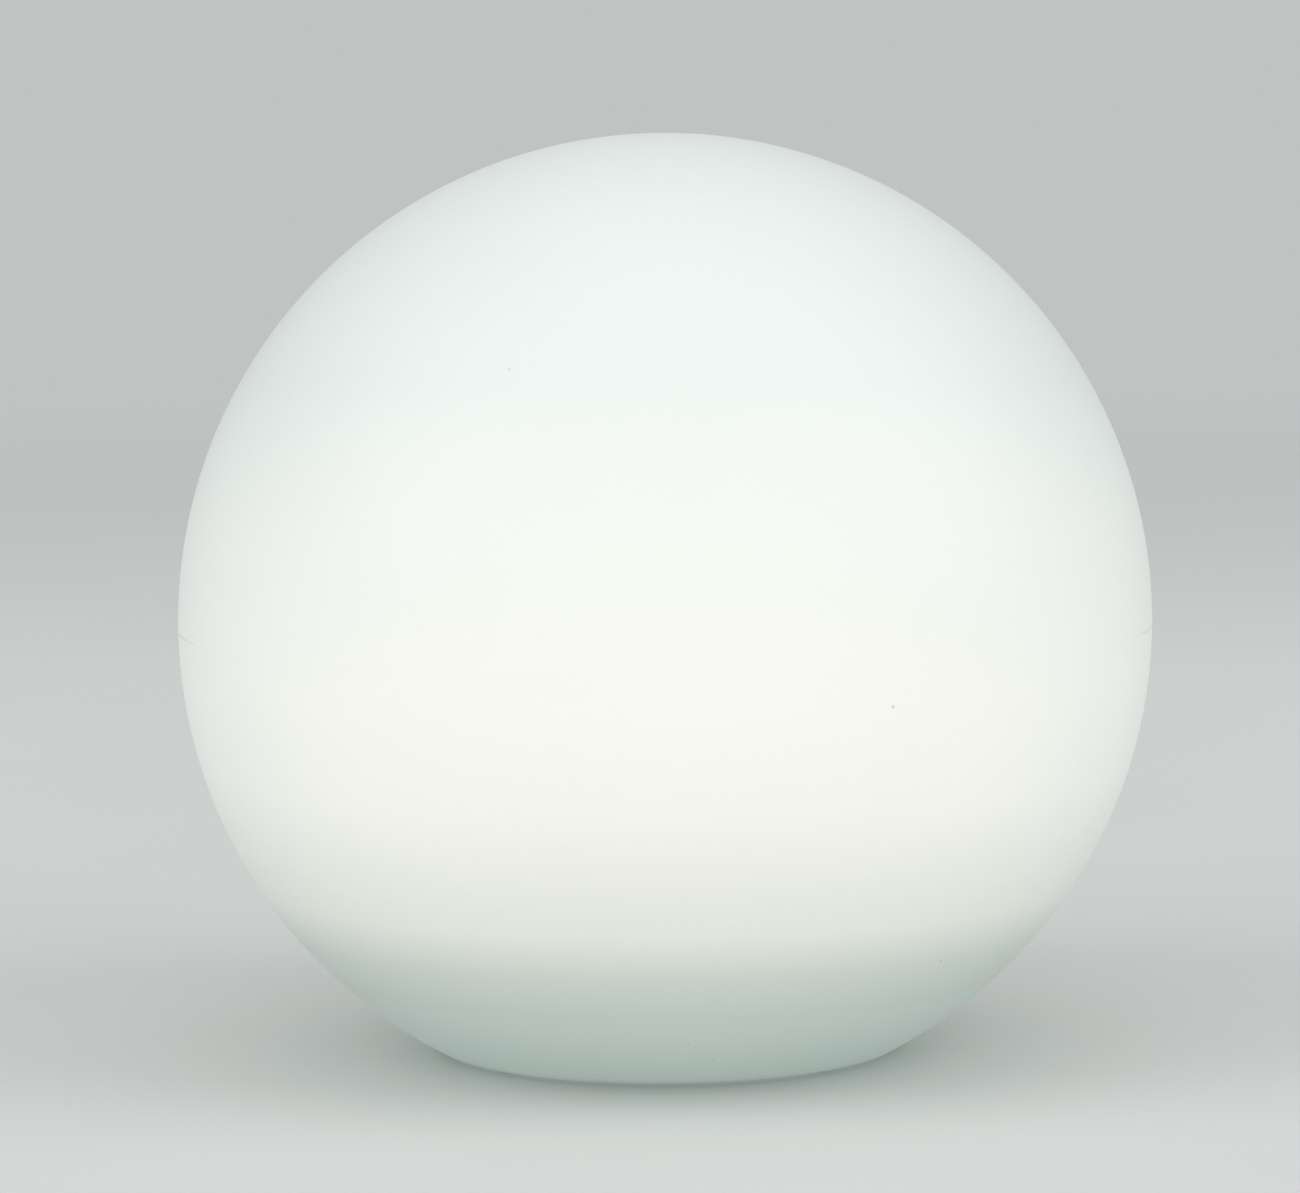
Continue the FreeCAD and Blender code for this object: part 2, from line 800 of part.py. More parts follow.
def board_parts():
    chips = [make_box(f"chip_{side}", s.part_spacing * side, at.standoff_y, at.board_top,
                      s.chip_side, s.chip_side, s.chip_height) for side in (-1, 0, 1)]
    group = doc.addObject("Part::Compound", "driver_chips")
    group.Links = chips
    keep("driver_chips", group)
    coil = make_box("power_inductor", s.part_spacing * -1, 0, at.board_top,
                    s.coil_side, s.coil_side, s.coil_height)
    keep("power_inductor", coil)
    can = make_body("capacitor")
    radius = s.can_dia / 2
    spin(can, "can", [
        (0, 0),
        (radius, 0),
        (radius, s.can_height * 0.25),
        (radius * 0.9, s.can_height * 0.35),
        (radius, s.can_height * 0.45),
        (radius, s.can_height * 0.94),
        (radius * 0.94, s.can_height),
        (0, s.can_height),
    ])
    spots = [(s.part_spacing * side, 0, at.board_top) for side in (1, 2)]
    copies("smoothing_capacitors", can, spots)
    led = make_box("indicator_led", 0, s.underside_y, at.board_bottom - s.indicator_height,
                   s.indicator_side, s.indicator_side, s.indicator_height)
    keep("indicator_led", led)


def charge_light_pipe():
    body = make_body("charge_light_pipe")
    radius = s.light_pipe_dia / 2
    flange = radius + s.light_pipe_flange
    tip = at.board_bottom - s.indicator_height - s.indicator_gap
    spin(body, "pipe", [
        (0, at.plate_bottom),
        (radius, at.plate_bottom),
        (radius, at.plate_top),
        (flange, at.plate_top),
        (flange, at.plate_top + s.light_pipe_flange_thick),
        (radius, at.plate_top + s.light_pipe_flange_thick),
        (radius, tip),
        (0, tip),
    ])
    place(body, 0, s.underside_y, 0)
    keep("charge_light_pipe", body)


def stack_screws():
    screw = make_screw("stack_screw", s.stack_screw_dia, s.stack_screw_length,
                       s.stack_head_dia, s.stack_head_height)
    spots = [(x, y, at.stack_seat) for x, y in standoff_spots()]
    copies("stack_screws", screw, spots, FreeCAD.Rotation(Vector(1, 0, 0), 180))


# ---- the charging socket and its cover

def charge_socket():
    body = make_body("charge_socket")
    x, y = s.socket_x, s.underside_y
    rise(body, "jack", at.socket_face, at.board_bottom, block(x, y, s.socket_side, s.socket_side))
    sink(body, "mouth", at.socket_face, at.socket_back, disc(x, y, s.socket_bore / 2))
    pin_seat_top = at.socket_back + s.socket_pin_head_thick
    sink(body, "pin_seat", at.socket_back, pin_seat_top, disc(x, y, s.socket_pin_head / 2))
    keep("charge_socket", body)


def charge_socket_pin():
    body = make_body("charge_socket_pin")
    radius = s.socket_pin_dia / 2
    head_r = s.socket_pin_head / 2
    back = at.socket_back + s.socket_pin_head_thick
    spin(body, "turned", [
        (0, at.socket_back - s.socket_pin_length),
        (radius, at.socket_back - s.socket_pin_length),
        (radius, at.socket_back),
        (head_r, at.socket_back),
        (head_r, back),
        (0, back),
    ])
    place(body, s.socket_x, s.underside_y, 0)
    keep("charge_socket_pin", body)


def charge_socket_seal():
    body = make_body("charge_socket_seal")
    outer = s.socket_hole / 2 + s.socket_seal_width / 2
    rise(body, "ring", at.plate_top, at.socket_face,
         disc(s.socket_x, s.underside_y, outer),
         disc(s.socket_x, s.underside_y, outer - s.socket_seal_width))
    keep("charge_socket_seal", body)


def socket_cover():
    body = make_body("socket_cover")
    head_r = s.cover_dia / 2
    stub_r = s.socket_hole / 2 - s.cover_play
    stub_top = at.cover_top + s.cover_stub
    spin(body, "plug", [
        (0, at.cover_bottom),
        (head_r - s.cover_bevel, at.cover_bottom),
        (head_r, at.cover_bottom + s.cover_bevel),
        (head_r, at.cover_top),
        (stub_r, at.cover_top),
        (stub_r - s.cover_taper, stub_top),
        (0, stub_top),
    ])
    lug_end = s.hinge_reach - s.strap_length / 2 - 0.1
    lug_start = head_r - s.cover_bevel - 1
    rise(body, "strap_lug", at.cover_top - s.strap_thick, at.cover_top,
         block(0, (lug_end + lug_start) / 2, s.strap_width, lug_end - lug_start))
    tab_end = head_r + s.cover_tab
    rise(body, "finger_tab", at.cover_bottom + s.cover_bevel, at.cover_top,
         block(0, -(tab_end + lug_start) / 2, s.strap_width, tab_end - lug_start))
    place(body, s.socket_x, s.underside_y, 0)
    keep("socket_cover", body)


def cover_strap():
    body = make_body("cover_strap")
    rise(body, "strap", at.cover_top - s.strap_thick, at.cover_top,
         block(s.socket_x, at.hinge_y, s.strap_width, s.strap_length))
    keep("cover_strap", body)


def cover_anchor():
    body = make_body("cover_anchor")
    peg = s.anchor_peg_dia / 2
    head_r = s.anchor_dia / 2
    low = at.plate_bottom - s.anchor_thick
    barb = peg + s.anchor_barb
    spin(body, "peg", [
        (0, low),
        (head_r - s.cover_bevel, low),
        (head_r, low + s.cover_bevel),
        (head_r, at.plate_bottom),
        (peg, at.plate_bottom),
        (peg, at.plate_top),
        (barb, at.plate_top),
        (peg * 0.6, at.plate_top + peg),
        (0, at.plate_top + peg),
    ])
    place(body, s.socket_x, at.anchor_y, 0)
    keep("cover_anchor", body)


# ---- the push button

def button_cap():
    body = make_body("button_cap")
    head_r = s.button_dia / 2
    stem_r = s.button_stem_dia / 2
    low = at.button_bottom
    spin(body, "cap", [
        (0, low),
        (head_r - s.button_round, low),
        (head_r, low + s.button_round),
        (head_r, at.button_top),
        (stem_r, at.button_top),
        (stem_r, at.clip_bottom),
        (stem_r - s.clip_depth, at.clip_bottom),
        (stem_r - s.clip_depth, at.clip_top),
        (stem_r, at.clip_top),
        (stem_r, at.plunger_tip),
        (0, at.plunger_tip),
    ])
    dish = s.button_dia / 3
    sink(body, "finger_dish", low - 0.2, low + 0.4, disc(0, 0, dish))
    place(body, s.button_x, s.underside_y, 0)
    keep("button_cap", body)


def button_boot():
    # rubber diaphragm: hub on the stem, one rolled fold and a clamped flange
    body = make_body("button_boot")
    bore = s.button_stem_dia / 2 + s.thread_play
    hub_low = at.button_top + s.thread_play
    hub_high = at.clip_bottom - s.thread_play
    flange_r = s.boot_flange_dia / 2
    hub_r = flange_r - s.boot_roll
    roll_in = hub_r + s.boot_skin / 2
    roll_out = at.boot_wall_inner - s.boot_ring_width - s.boot_roll_gap
    lift = at.plate_top + s.boot_flange_thick + 0.2
    skin = s.boot_skin
    spin(body, "diaphragm", [
        (bore, hub_low),
        (hub_r, hub_low),
        (hub_r, hub_low + skin),
        (roll_in, lift),
        (roll_out - skin / 2, lift),
        (roll_out + skin / 4, at.plate_top),
        (flange_r, at.plate_top),
        (flange_r, at.plate_top + s.boot_flange_thick),
        (roll_out + skin * 1.2, at.plate_top + s.boot_flange_thick),
        (roll_out + skin / 4, lift + skin),
        (roll_in - skin / 4, lift + skin),
        (hub_r - skin, hub_high),
        (bore, hub_high),
    ])
    place(body, s.button_x, s.underside_y, 0)
    keep("button_boot", body)


def boot_ring():
    body = make_body("boot_ring")
    low = at.plate_top + s.boot_flange_thick
    inner = at.boot_wall_inner - s.boot_ring_width
    middle = (s.button_x, s.underside_y)
    rise(body, "ring", low, low + s.boot_ring_height, disc(*middle, at.boot_wall_inner), disc(*middle, inner))
    keep("boot_ring", body)


def button_clip():
    body = make_body("button_clip")
    inner = s.button_stem_dia / 2 - s.clip_depth
    outer = inner + s.clip_width
    rise(body, "ring", at.clip_bottom, at.clip_top, disc(0, 0, outer), disc(0, 0, inner))
    sink(body, "mouth", at.clip_bottom, at.clip_top, block(outer, 0, outer * 1.2, inner * 1.4))
    place(body, s.button_x, s.underside_y, 0)
    keep("button_clip", body)


def tact_switch():
    body = make_body("tact_switch")
    x, y = s.button_x, s.underside_y
    rise(body, "case", at.switch_face, at.board_bottom, block(x, y, s.switch_side, s.switch_side))
    bore_top = at.switch_face + s.button_travel * 2 + 0.2
    sink(body, "bore", at.switch_face, bore_top, disc(x, y, s.plunger_dia / 2 + s.plunger_play))
    keep("tact_switch", body)


def switch_plunger():
    body = make_body("switch_plunger")
    radius = s.plunger_dia / 2
    bevel = s.button_round
    top = at.switch_face + s.button_travel
    spin(body, "plunger", [
        (0, at.plunger_tip),
        (radius - bevel, at.plunger_tip),
        (radius, at.plunger_tip + bevel),
        (radius, top),
        (0, top),
    ])
    place(body, s.button_x, s.underside_y, 0)
    keep("switch_plunger", body)


# ---- the battery pack

def cell_rows():
    middle = (s.cell_count.value - 1) / 2
    steps = [index - middle for index in range(int(s.cell_count.value))]
    return [at.cell_pitch * step if step else 0 for step in steps]


def battery_cells():
    body = make_body("battery_cell")
    radius = s.cell_dia / 2
    cap_r = s.cell_cap_dia / 2
    shoulder = s.cell_length - s.cell_cap_rise
    spin(body, "can", [
        (0, 0),
        (radius - s.cell_bevel, 0),
        (radius, s.cell_bevel),
        (radius, shoulder - s.cell_bevel),
        (radius - s.cell_bevel, shoulder),
        (cap_r, shoulder),
        (cap_r, s.cell_length),
        (0, s.cell_length),
    ])
    spots = [(-s.cell_length / 2, y, at.cell_z) for y in cell_rows()]
    copies("battery_cells", body, spots, FreeCAD.Rotation(Vector(0, 1, 0), 90))


def nickel_strips():
    length = at.cell_pitch * (s.cell_count - 1) + s.strip_width
    low = at.cell_z - s.strip_width / 2
    out = s.cell_length / 2 + s.strip_thick / 2
    strips = [make_box(f"strip_{name}", out * side, 0, low, s.strip_thick, length, s.strip_width)
              for name, side in (("minus", -1), ("plus", 1))]
    group = doc.addObject("Part::Compound", "nickel_strips")
    group.Links = strips
    keep("nickel_strips", group)


def battery_cradle():
    body = make_body("battery_cradle")
    width = at.cell_pitch * (s.cell_count - 1) + s.cell_dia + s.cradle_wall * 2
    rise(body, "tray", at.cradle_bottom, at.cradle_top, block(0, 0, at.half_cradle * 2, width))
    corners = standoff_spots()
    legs = [disc(x, y, s.standoff_dia / 2) for x, y in corners]
    rise(body, "legs", at.board_top, at.cradle_bottom + 0.5, *legs)
    sketch = make_sketch(body, "troughs_outline", "YZ_Plane")
    for y in cell_rows():
        disc(y, at.cell_z, s.cell_dia / 2 + s.cradle_play)(sketch)
    troughs = body.newObject("PartDesign::Pocket", "troughs")
    troughs.Profile = sketch
    troughs.Midplane = True
    bind(troughs, "Length", at.half_pack * 2 + s.strip_thick * 2)
    head_r = s.stack_head_dia / 2 + s.head_play / 2
    seats = [disc(x, y, head_r) for x, y in corners]
    sink(body, "head_seats", at.stack_seat, at.cradle_top, *seats)
    hole_r = s.stack_screw_dia / 2 + s.hole_play
    holes = [disc(x, y, hole_r) for x, y in corners]
    sink(body, "screw_holes", at.board_top, at.stack_seat, *holes)
    keep("battery_cradle", body)


def battery_pad():
    length = s.cell_length - s.pad_inset * 2
    width = at.cell_pitch * (s.cell_count - 1) + s.pad_inset * 2
    pad = make_box("battery_pad", 0, 0, at.cell_top, length, width, s.pad_thick)
    keep("battery_pad", pad)


# ---- plugs and wires

def connector(label, side):
    # a header on the board, open towards the housing wall, with the wires' plug in it
    y = s.lead_y * side
    room_width = s.plug_width + s.plug_play * 2
    room_height = s.plug_height + s.plug_play * 2
    depth = s.header_reach + s.header_wall
    centre = at.header_end - depth / 2
    case = make_box(label + "_case", centre, y, at.board_top,
                    depth, room_width + s.header_wall * 2, room_height + s.header_wall * 2)
    room = make_box(label + "_room", centre + s.header_wall, y, at.board_top + s.header_wall,
                    depth, room_width, room_height)
    header = doc.addObject("Part::Cut", label + "_header")
    header.Base = case
    header.Tool = room
    keep(label + "_header", header)
    plug_low = at.board_top + s.header_wall + s.plug_play
    plug = make_box(label + "_plug", at.plug_end - s.plug_length / 2, y, plug_low,
                    s.plug_length, s.plug_width, s.plug_height)
    keep(label + "_plug", plug)


def wire(label, points):
    # a round wire along straight runs that tangent arcs join
    corners = [Vector(*[value(size) for size in point]) for point in points]
    radius = s.wire_dia.value / 2
    edges = []
    here = corners[0]
    radii = []
    for before, corner, after in zip(corners, corners[1:], corners[2:]):
        back = (before - corner).normalize()
        ahead = (after - corner).normalize()
        half_turn = (math.pi - back.getAngle(ahead)) / 2
        setback = 0.45 * min(before.distanceToPoint(corner), after.distanceToPoint(corner))
        bend = setback / math.tan(half_turn)
        radii.append(round(bend, 1))
        enter = corner + back * setback
        leave = corner + ahead * setback
        centre = corner + (back + ahead).normalize() * (bend / math.cos(half_turn))
        middle = centre + (corner - centre).normalize() * bend
        edges.append(Part.LineSegment(here, enter).toShape())
        edges.append(Part.Arc(enter, middle, leave).toShape())
        here = leave
    edges.append(Part.LineSegment(here, corners[-1]).toShape())
    path = Part.Wire(edges)
    ring = Part.Circle(corners[0], corners[1] - corners[0], radius)
    tube = path.makePipeShell([Part.Wire([ring.toShape()])], True, False)
    print(label, "bend radii", radii, "volume over section times length",
          round(tube.Volume / (math.pi * radius ** 2 * path.Length), 4))
    thing = doc.addObject("Part::Feature", label)
    thing.Shape = tube
    keep(label, thing)


def wires():
    # the plug's two wires bend up from it: the battery's to its end strip, the LEDs' through the deck
    strip_x = s.cell_length / 2 + s.strip_thick + s.wire_dia / 2
    for colour, side in (("red", 1), ("black", -1)):
        y = s.lead_y + s.wire_pitch / 2 * side
        wire("battery_lead_" + colour, [
            (at.plug_end, y, at.wire_z),
            (at.lead_x, y, at.wire_z),
            (at.lead_x, y, at.cradle_top - 2),
            (strip_x, y, at.cell_z - 2),
            (strip_x, y, at.cell_z + s.strip_width / 2),
        ])
        y = -s.lead_y + s.wire_pitch / 2 * side
        wire("led_lead_" + colour, [
            (at.plug_end, y, at.wire_z),
            (at.lead_x, y, at.wire_z),
            (at.lead_x, y, at.cell_z),
            (at.lead_hole_x, y, at.deck_bottom - s.lead_straight),
            (at.lead_hole_x, y, at.led_board_top),
        ])


def lead_holes(radius=None):
    radius = radius or s.wire_dia / 2 + s.hole_play
    return [disc(at.lead_hole_x, -s.lead_y + s.wire_pitch / 2 * side, radius) for side in (-1, 1)]


# ---- the LED disc

def led_screw_spots(level):
    return circle_spots(at.led_screw_r, s.led_screw_count, 45, level)


def thermal_pad():
    body = make_body("thermal_pad")
    rise(body, "sheet", at.deck_top, at.led_board_bottom, disc(0, 0, at.led_board_r))
    hole_r = s.housing_screw_dia / 2 + s.hole_play
    holes = [disc(x, y, hole_r) for x, y, _ in led_screw_spots(0)]
    sink(body, "holes", at.deck_top, at.led_board_bottom, *holes, *lead_holes())
    keep("thermal_pad", body)


def led_board():
    body = make_body("led_board")
    rise(body, "board", at.led_board_bottom, at.led_board_top, disc(0, 0, at.led_board_r))
    hole_r = s.housing_screw_dia / 2 + s.hole_play
    holes = [disc(x, y, hole_r) for x, y, _ in led_screw_spots(0)]
    plated = lead_holes(s.wire_dia / 2 + s.thread_play)
    sink(body, "holes", at.led_board_bottom, at.led_board_top, *holes, *plated)
    keep("led_board", body)


def led_chips():
    body = make_body("led_chip")
    rise(body, "case", 0, s.led_height, block(0, 0, s.led_side, s.led_side))
    sink(body, "eye", s.led_height - s.led_eye_depth, s.led_height, disc(0, 0, s.led_eye_dia / 2))
    outer = circle_spots(s.led_outer_ring / 2, s.led_outer_count, 0, at.led_board_top)
    inner = circle_spots(s.led_inner_ring / 2, s.led_inner_count, 0, at.led_board_top)
    copies("led_chips", body, outer + inner)


def led_board_screws():
    screw = make_screw("led_board_screw", s.housing_screw_dia, s.led_screw_length,
                       s.small_head_dia, s.small_head_height)
    upside_down = FreeCAD.Rotation(Vector(1, 0, 0), 180)
    copies("led_board_screws", screw, led_screw_spots(at.led_board_top), upside_down)


# ---- the clear dome over the LEDs

def light_dome():
    body = make_body("light_dome")
    ball_z = at.dome_ball_z
    outer_r = at.dome_ball_r
    inner_r = outer_r - s.dome_wall
    inner_foot = math.sqrt(inner_r.value ** 2 - (at.dome_flange_top.value - ball_z.value) ** 2)
    spin(body, "moulding", [
        (0, Free((ball_z + outer_r).value)),
        (Free(at.dome_r.value), at.dome_flange_top),
        (at.housing_outer, at.dome_flange_top),
        (at.housing_outer, at.dome_flange_bottom),
        (at.dome_flange_inner, at.dome_flange_bottom),
        (at.dome_flange_inner, at.dome_flange_top),
        (Free(inner_foot), at.dome_flange_top),
        (0, Free((ball_z + inner_r).value)),
    ], {0: (0, ball_z, outer_r, False), 6: (0, ball_z, inner_r, True)})
    keep("light_dome", body)


def dome_seal():
    body = make_body("dome_seal")
    rise(body, "ring", at.deck_top, at.dome_flange_bottom,
         disc(0, 0, at.housing_outer), disc(0, 0, at.dome_flange_inner))
    keep("dome_seal", body)


def dome_ring():
    body = make_body("dome_ring")
    lip_inner = at.dome_r + 0.3
    lip_top = at.dome_flange_top + s.ring_lip
    skirt_low = at.dome_flange_top - s.ring_skirt
    bevel = s.ring_lip / 2
    spin(body, "ring", [
        (at.ring_inner, skirt_low),
        (at.ring_outer, skirt_low),
        (at.ring_outer, lip_top - bevel),
        (at.ring_outer - bevel, lip_top),
        (lip_inner, lip_top),
        (lip_inner, at.dome_flange_top),
        (at.ring_inner, at.dome_flange_top),
    ])
    reach = s.ring_rib_proud + s.ring_wall / 2
    rib = rise(body, "grip_rib", skirt_low, lip_top - bevel,
               block(at.ring_outer + s.ring_rib_proud - reach / 2, 0, reach, s.ring_rib_width))
    round_about(body, "grip_ribs", s.ring_rib_count, rib)
    keep("dome_ring", body)


# ---- build, check and write

def check(label, thing):
    shape = thing.Shape
    if shape.isNull() or not shape.isValid() or shape.Volume <= 0:
        raise RuntimeError(f"{label} has no valid solid")


def check_features():
    for thing in doc.Objects:
        if "Invalid" in thing.State or "Error" in thing.State:
            raise RuntimeError(f"{thing.Label} failed: {thing.State}")
        if thing.TypeId in ("PartDesign::Pocket", "PartDesign::Groove"):
            if thing.Shape.Volume > thing.BaseFeature.Shape.Volume - 0.001:
                raise RuntimeError(f"{thing.Label} cuts nothing")


def build():
    lay_out()
    for make in (globe_shell, foot_pads, threaded_inserts, flange_gasket, base_plate, flange_screws,
                 battery_housing, housing_seal, housing_screws, control_board, board_parts,
                 charge_light_pipe, stack_screws, charge_socket, charge_socket_pin, charge_socket_seal,
                 socket_cover, cover_strap, cover_anchor, button_cap, button_boot, boot_ring,
                 button_clip, tact_switch, switch_plunger, battery_cells, nickel_strips,
                 battery_cradle, battery_pad, wires, thermal_pad, led_board, led_chips,
                 led_board_screws, light_dome, dome_seal, dome_ring):
        make()
    connector("battery", 1)
    connector("led", -1)
    doc.recompute()
    check_features()
    for label, thing in nodes.items():
        check(label, thing)
    for label, thing in nodes.items():
        thing.Shape.exportStep(f"parts/{label}.step")
    whole = Part.makeCompound([thing.Shape for thing in nodes.values()]).BoundBox
    overall = [round(side, 2) for side in (whole.XLength, whole.YLength, whole.ZLength)]
    print(len(nodes), "nodes,", overall, "mm")


build()
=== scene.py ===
import json
import math

import bmesh
import bpy
from mathutils import Matrix, Vector


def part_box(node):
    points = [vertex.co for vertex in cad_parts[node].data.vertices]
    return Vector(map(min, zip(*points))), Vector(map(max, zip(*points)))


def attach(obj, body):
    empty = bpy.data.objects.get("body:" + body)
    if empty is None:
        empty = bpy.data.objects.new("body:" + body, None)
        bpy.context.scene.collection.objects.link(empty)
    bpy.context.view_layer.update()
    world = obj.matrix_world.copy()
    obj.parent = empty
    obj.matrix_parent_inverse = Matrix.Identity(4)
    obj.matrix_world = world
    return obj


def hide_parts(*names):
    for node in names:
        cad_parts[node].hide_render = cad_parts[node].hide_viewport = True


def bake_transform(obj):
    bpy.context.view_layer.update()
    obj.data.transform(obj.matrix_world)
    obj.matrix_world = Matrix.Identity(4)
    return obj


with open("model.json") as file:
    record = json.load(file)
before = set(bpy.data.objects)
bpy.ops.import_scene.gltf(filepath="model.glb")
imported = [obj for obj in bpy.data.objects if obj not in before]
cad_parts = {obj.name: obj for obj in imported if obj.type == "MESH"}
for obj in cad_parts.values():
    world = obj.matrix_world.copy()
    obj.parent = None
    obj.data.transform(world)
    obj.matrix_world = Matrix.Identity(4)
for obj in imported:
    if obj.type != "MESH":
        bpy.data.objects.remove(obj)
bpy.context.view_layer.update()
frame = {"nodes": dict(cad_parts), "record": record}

mm = 0.001
globeLow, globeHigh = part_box("globe_shell")


# shader maths: a wrapped socket takes + - * / and adds the Math nodes for them
class Wire:
    def __init__(self, tree, socket):
        self.tree = tree
        self.socket = socket

    def maths(self, operation, *terms):
        node = self.tree.nodes.new("ShaderNodeMath")
        node.operation = operation
        for entry, term in zip(node.inputs, terms):
            feed(self.tree, entry, term)
        return Wire(self.tree, node.outputs[0])

    def __add__(self, other):
        return self.maths("ADD", self, other)

    def __radd__(self, other):
        return self.maths("ADD", other, self)

    def __sub__(self, other):
        return self.maths("SUBTRACT", self, other)

    def __rsub__(self, other):
        return self.maths("SUBTRACT", other, self)

    def __mul__(self, other):
        return self.maths("MULTIPLY", self, other)

    def __rmul__(self, other):
        return self.maths("MULTIPLY", other, self)

    def __truediv__(self, other):
        return self.maths("DIVIDE", self, other)

    def __rtruediv__(self, other):
        return self.maths("DIVIDE", other, self)

    def unsigned(self):
        return self.maths("ABSOLUTE", self)

    def orMore(self, other):
        return self.maths("MAXIMUM", self, other)

    def beside(self, output):
        # another output of the node that this one comes from
        return Wire(self.tree, self.socket.node.outputs[output])

    def below(self, limit, blur):
        # 1 well under the limit, 0 well over it, smooth between
        node = self.tree.nodes.new("ShaderNodeMapRange")
        node.interpolation_type = "SMOOTHSTEP"
        feed(self.tree, node.inputs["Value"], self)
        node.inputs["From Min"].default_value = limit - blur
        node.inputs["From Max"].default_value = limit + blur
        node.inputs["To Min"].default_value = 1
        node.inputs["To Max"].default_value = 0
        return Wire(self.tree, node.outputs[0])


def feed(tree, entry, term):
    if isinstance(term, Wire):
        tree.links.new(term.socket, entry)
    elif entry.type == "RGBA" and len(term) == 3:
        entry.default_value = (*term, 1)
    else:
        entry.default_value = term


class Finish:
    def __init__(self, name, tree=None):
        if tree is None:
            self.material = bpy.data.materials.new(name)
            self.material.use_nodes = True
            tree = self.material.node_tree
        self.tree = tree
        tree.nodes.clear()

    def node(self, kind, settings=None, sockets=None, output=0):
        made = self.tree.nodes.new("ShaderNode" + kind)
        for name, setting in (settings or {}).items():
            if name == "stops":
                self.setStops(made.color_ramp, setting)
            else:
                setattr(made, name, setting)
        for name, term in (sockets or {}).items():
            feed(self.tree, made.inputs[name], term)
        return Wire(self.tree, made.outputs[output]) if made.outputs else None

    def setStops(self, ramp, stops):
        while len(ramp.elements) < len(stops):
            ramp.elements.new(1)
        for element, (position, colour) in zip(ramp.elements, stops):
            element.position = position
            element.color = (*colour, 1)

    def place(self):
        return self.node("TexCoord", output="Object")

    def height(self, place):
        return self.node("SeparateXYZ", sockets={"Vector": place}, output="Z")

    def noise(self, place, scale, detail=3, roughness=0.5):
        return self.node("TexNoise", sockets={"Vector": place, "Scale": scale, "Detail": detail,
                                              "Roughness": roughness})

    def mix(self, factor, first, second, blend="MIX"):
        return self.node("Mix", {"data_type": "RGBA", "blend_type": blend},
                         {0: factor, 6: first, 7: second}, output=2)

    def bump(self, height, strength, distance):
        return self.node("Bump", sockets={"Height": height, "Strength": strength, "Distance": distance})

    def end(self, surface):
        self.node("OutputMaterial", sockets={"Surface": surface})
        return self.material


# the camera stands where the photograph was taken from; pixels are the photograph's own
cameraView = {
    "imageWidth": 1300,
    "imageHeight": 1193,
    "focalPixels": 4845,
    "centrePixel": (664.8, 619.6),
    "distance": 2.0,
    "elevation": 5.3,
    "roll": 0.47,
}


def makeCamera(view, target):
    elevation = math.radians(view["elevation"])
    forward = Vector((0, math.cos(elevation), -math.sin(elevation)))
    right = Vector((1, 0, 0))
    level = Matrix((right, right.cross(forward), -forward))
    across = view["centrePixel"][0] - view["imageWidth"] / 2
    above = view["imageHeight"] / 2 - view["centrePixel"][1]
    yaw = math.atan2(across, view["focalPixels"])
    pitch = math.atan2(above, math.hypot(view["focalPixels"], across))
    turn = Matrix.Rotation(math.radians(view["roll"]), 3, "Z") @ Matrix.Rotation(-yaw, 3, "Y")
    turn = turn @ Matrix.Rotation(pitch, 3, "X") @ level
    lens = bpy.data.cameras.new("photoCamera")
    lens.lens = view["focalPixels"] * lens.sensor_width / view["imageWidth"]
    camera = bpy.data.objects.new("photoCamera", lens)
    bpy.context.scene.collection.objects.link(camera)
    spot = target - forward * view["distance"]
    camera.matrix_world = Matrix.Translation(spot) @ turn.transposed().to_4x4()
    bpy.context.scene.camera = camera


globe = {
    "radius": 200 * mm,
    "wall": 3.6 * mm,
    "footRound": 6 * mm,
    "lipRound": 1.5 * mm,
    "recessRadius": 78 * mm,
    "roofHeight": 14 * mm,
    "openingRadius": 60 * mm,
    "seamDrop": 1.6 * mm,
    "seamProud": 0.25 * mm,
    "seamHalfWidth": 0.25 * mm,
    "seamLeast": 0.08,      # share of the ridge that is left at the front and back
    "seamFalloff": 16,      # how fast it sinks to that, away from the sides
    "ridgeFoot": 1.8,       # half widths from the ridge's middle to its foot
    "ridgeMargin": 4,       # and to the last of its rings
    "segments": 320,
    "ringStep": 1.5,        # degrees
}
globeCentre = Vector((0, 0, globeHigh.z - globe["radius"]))
makeCamera(cameraView, globeCentre)
print("camera made")


# the studio: pale floor that fades into a pale backdrop, a soft sky and three broad lamps
studio = {
    "backdrop": (0.53, 0.545, 0.54),
    "sky": (0.98, 1.0, 0.995),
    "skyStrength": 0.62,
    "floor": {
        "colour": (0.60, 0.615, 0.61),
        "tone": 1.09,               # times the colour, far from the light
        "nearPaintedShade": 0.12,            # painted shade: the colour is less by this close to the globe
        "near": (1.0, 0.7),         # where that painted shade ends, and how softly
        "cloud": (3.5, 0.04),       # scale and share in the tone
        "speckle": (260, 0.02),
        "roughness": 0.55,
        "glossDrift": 0.1,
        "specular": 0.25,
        "relief": (0.05, 0.4 * mm),
        "drop": 0.05 * mm,          # clear of the feet, which stand at zero
        "under": 94 * mm,           # within this light comes up through the floor, onto the base
        "fade": (1.4, 6),           # from floor to backdrop
        "rings": (0, 0.06, 0.12, 0.3, 0.6, 1.2, 2.4, 4.5, 9),
        "segments": 128,
    },
    "lamps": {
        "topSoftbox": {"spot": (0.2, -1.2, 2.8), "size": 3.4, "power": 16},
        "leftSoftbox": {"spot": (-3.0, -1.4, 2.9), "size": 3.4, "power": 58},
        "rightSoftbox": {"spot": (3.1, -1.1, 2.8), "size": 3.4, "power": 56},
    },
}


